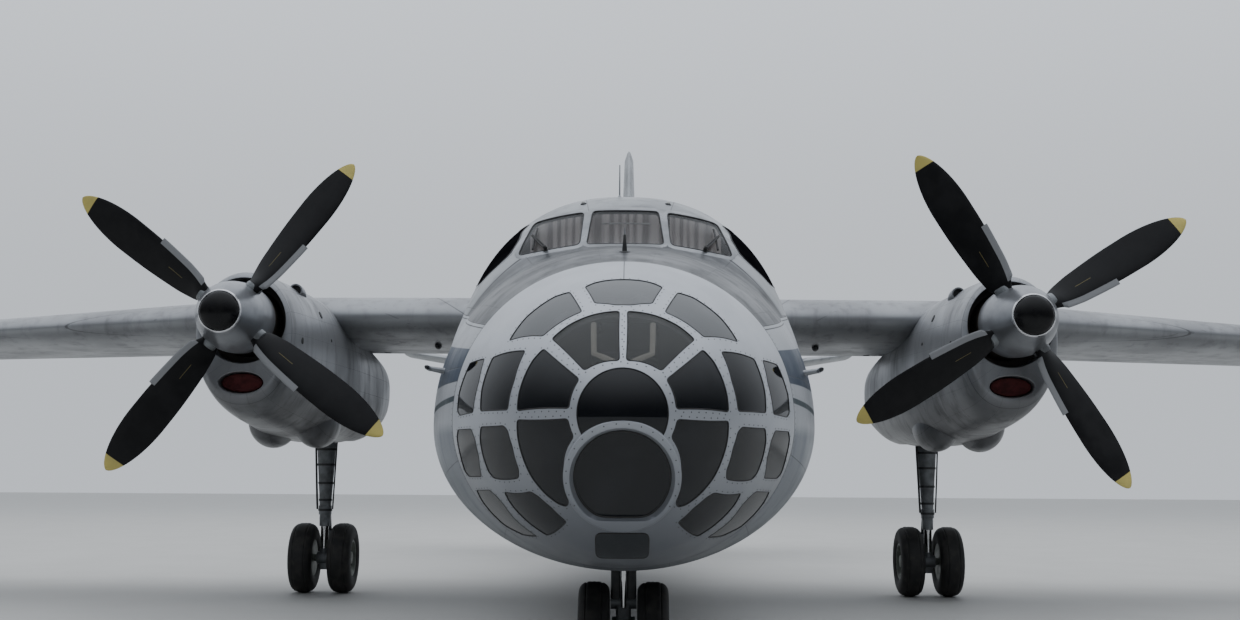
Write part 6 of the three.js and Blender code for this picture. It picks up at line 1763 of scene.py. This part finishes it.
def build_wheels(gear, x, name, body, tyre_nodes):
    """Twin wheels on their axle, each rim dished with bolts, and their tyres."""
    rims, bolts = Form(), Form()
    centre = at(x, gear["station"], gear["z"])
    rim, spacing, half, axle = gear["rim"], gear["spacing"], gear["width"] * 0.42, gear["axle"]
    end = spacing + half - 0.02
    rims.lathe([(-end, 0), (-end, axle), (end, axle), (end, 0)], centre, ACROSS, 40)
    profile = [
        (-half, rim * 0.9), (-half, rim + 0.012), (-half + 0.012, rim + 0.014), (-half + 0.02, rim - 0.004),
        (half - 0.02, rim - 0.004), (half - 0.012, rim + 0.014), (half, rim + 0.012), (half, rim * 0.93),
        (half - 0.02, rim * 0.88), (half - 0.05, rim * 0.8), (half - 0.055, rim * 0.45),
        (half - 0.03, rim * 0.36), (half - 0.012, rim * 0.34), (half - 0.006, axle * 0.8), (half - 0.006, 0),
        (0, 0), (0, rim * 0.9)]
    angle = turns(10)
    for side in (-1, 1):
        rims.lathe([(side * (spacing + along), radius) for along, radius in profile], centre, ACROSS, 64)
        ring = np.stack([np.full(10, side * (spacing + half - 0.05)), rim * 0.62 * np.cos(angle),
                         rim * 0.62 * np.sin(angle)], 1)
        add_screws(bolts, centre + ring, np.tile((side, 0.0, 0.0), (10, 1)), 0.012, 0.012)
        label = "left" if side > 0 else "right"
        piece(f"{name}_tyre_{label}", tyre_form(gear, x + side * spacing), "tyre", body,
              tyre_nodes[side])
    piece(f"{name}_rims", rims, "rim", body, body)
    piece(f"{name}_bolts", bolts, "dark", body)


def build_main_gear(name, side):
    """Main leg: tapered cylinder with bands, brace, torque links, pipes and axle beam. Its rods and
    turned parts lie round the leg's own line."""
    x, y = side * NACELLE_X, NOSE_Y + MAIN["station"]
    line, axle = (x, y, 0), (x, y, MAIN["z"])
    leg, bands = Form(), Form()
    leg.lathe([(1.01, 0.06), (1.01, 0.084), (1.125, 0.084), (1.13, 0.075), (1.96, 0.128), (2.44, 0.121),
               (2.56, 0.105)], line)
    for z, radius in ((1.2, 0.082), (1.42, 0.096), (1.66, 0.112), (1.86, 0.125), (1.07, 0.088)):
        bands.lathe([(z - 0.014, radius - 0.01), (z - 0.014, radius + 0.004), (z + 0.014, radius + 0.005),
                     (z + 0.014, radius - 0.01)], line)
    leg.lathe([(-0.088, 0), (-0.088, 0.07), (-0.08, 0.084), (0.08, 0.084), (0.088, 0.07), (0.088, 0)],
              axle, ACROSS)
    leg.lathe([(0, 0.07), (0.12, 0.056)], axle, UP, 40)
    leg.lathe([(0.86, 0.051), (0.86, 0.07), (0.99, 0.073), (1.02, 0.068)], line, UP, 40)
    # Distance aft of the leg's line at which the brace meets the nacelle
    brace = 12.13 - MAIN["station"]
    # Rods of the leg: ends from the leg's line, radii at them, and sides of the rod
    rods = [
        ((-0.298, 0, 2.49), (0.298, 0, 2.49), 0.06, 32), ((0, 0.04, 1.38), (0, brace, 2.48), 0.041, 24),
        ((-0.298, brace, 2.47), (0.298, brace, 2.47), 0.039, 24)]
    for way in (-1, 1):
        rods += [((way * 0.035, 0.08, 1.05), (way * 0.018, 0.29, 0.79), (0.026, 0.02), 16),
                 ((way * 0.018, 0.29, 0.8), (way * 0.035, 0.06, 0.5), (0.02, 0.026), 16)]
    rods.append(((-0.045, 0.29, 0.795), (0.045, 0.29, 0.795), 0.024, 16))
    for start, end, radius, count in rods:
        leg.tube(np.add(line, [start, end]), radius, count)
    leg.block((x - 0.05, y - 0.05, 0.3), (x + 0.05, y + 0.05, 0.4), 0.006)
    bands.tube(np.add(line, [(-0.1, -0.02, 1.08), (-0.115, -0.03, 1.4), (-0.15, -0.03, 2.2)]), 0.014)
    bands.tube(np.add(line, [(0.1, -0.02, 1.08), (0.12, -0.03, 1.5), (0.15, -0.03, 2.2)]), 0.01)
    piece(f"leg_{name}", leg, "leg", replaces=f"main_leg_{name}")
    piece(f"leg_bands_{name}", bands, "dark")
    piece(f"leg_piston_{name}", Form().lathe([(0.43, 0.05), (1.03, 0.05)], line, UP, 40), "chrome")
    build_wheels(MAIN, x, f"main_{name}", f"main_wheels_{name}",
                 {side: f"main_tyre_{name}_outer", -side: f"main_tyre_{name}_inner"})


def build_nose_gear():
    """Nose leg: two dark columns beside a bright piston, crosspiece, levers and axle beam."""
    y = NOSE_Y + NOSE["station"]
    fork, columns = Form(), Form()
    for way in (-1, 1):
        columns.block((way * 0.064 - 0.038, y - 0.052, 0.52), (way * 0.064 + 0.038, y + 0.052, 0.862), 0.016)
    fork.lathe([(0.52, 0.05), (1.18, 0.058)], (0, y, 0), UP, 32)
    for half, z, radius in ((0.104, 0.54, 0.057), (0.092, NOSE["z"], 0.073)):
        fork.tube([(-half, y, z), (half, y, z)], radius, 32)
    # Blocks: half width, ends ahead of and behind the leg's line, lower and upper level, edge
    for half, ahead, behind, low, high, edge in (
            (0.12, 0.058, 0.058, 0.81, 0.867, 0.012), (0.06, 0.055, 0.055, 0.34, 0.56, 0.02),
            (0.04, 0.13, 0, 0.31, 0.39, 0.006), (0.04, 0.04, 0.04, 0.24, 0.36, 0.006)):
        fork.block((-half, y - ahead, low), (half, y + behind, high), edge)
    piece("nose_columns", columns, "dark", "nose_fork")
    piece("nose_fork_body", fork, "leg", "nose_fork", "nose_fork")
    damper = Form().tube([(0, y - 0.06, 0.5), (0, y - 0.06, 0.84)], 0.02, 24)
    piece("nose_damper", damper, "chrome", "nose_fork")
    build_wheels(NOSE, 0.0, "nose", "nose_wheels", {1: "nose_tyre_left", -1: "nose_tyre_right"})


def dress(node, finish):
    """Gives a CAD node that stays its finish."""
    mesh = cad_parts[node].data
    mesh.materials.clear()
    mesh.materials.append(FINISHES[finish])


def build_studio():
    """Pale floor, a soft sky that is brighter overhead and aft, and one large soft lamp overhead."""
    mesh = bpy.data.meshes.new("floor")
    mesh.from_pydata([(x, y, 0) for x, y in rectangle(-90, 90, -90, 90)], [], [(0, 1, 2, 3)])
    mesh.materials.append(FINISHES["floor"])
    link("floor", mesh)
    world = bpy.data.worlds.new("studio")
    world.use_nodes = True
    sky = Nodes(world.node_tree)
    _, aft, up = sky.parts(sky.node("ShaderNodeTexCoord", output="Generated"))
    glow = 0.07 + sky.rise(up, 0.05, 1) * 1.5 + sky.rise(aft, 0, 0.9) * (1 - sky.rise(up, 0.25, 0.8)) * 0.72
    background = world.node_tree.nodes["Background"]
    sky.feed(background.inputs["Color"], (0.86, 0.91, 0.98))
    sky.feed(background.inputs["Strength"], glow)
    bpy.context.scene.world = world
    lamp = bpy.data.lights.new("overhead", "AREA")
    lamp.shape, lamp.size, lamp.size_y, lamp.energy = "RECTANGLE", LAMP["width"], LAMP["depth"], LAMP["power"]
    thing = link("overhead", lamp)
    thing.location = LAMP["place"]
    thing.visible_glossy = False


def build_camera():
    """The photo's camera."""
    camera = bpy.data.cameras.new("camera")
    camera.lens, camera.sensor_width, camera.sensor_fit = CAMERA["lens"], 36, "HORIZONTAL"
    camera.clip_end = 500
    thing = link("camera", camera)
    thing.location = at(CAMERA["x"], CAMERA["station"], CAMERA["z"])
    turn = 90 + CAMERA["pitch"], -CAMERA["roll"], CAMERA["yaw"]
    thing.rotation_euler = [math.radians(degrees) for degrees in turn]
    bpy.context.scene.camera = thing


build_camera()
build_studio()
build_nose()
build_forward()
build_cabin()
build_rear()
build_wings()
build_tail()
for pod_name, pod_side in SIDES:
    build_cowl(pod_name, pod_side)
    build_nacelle(pod_name, pod_side)
    build_propeller(pod_name, pod_side)
    build_main_gear(pod_name, pod_side)
    dress(f"engine_{pod_name}", "dark")
build_nose_gear()
for node, finish in (
        ("cockpit_deck", "interior"), ("instrument_panel", "interior"), ("nose_leg_housing", "leg")):
    dress(node, finish)
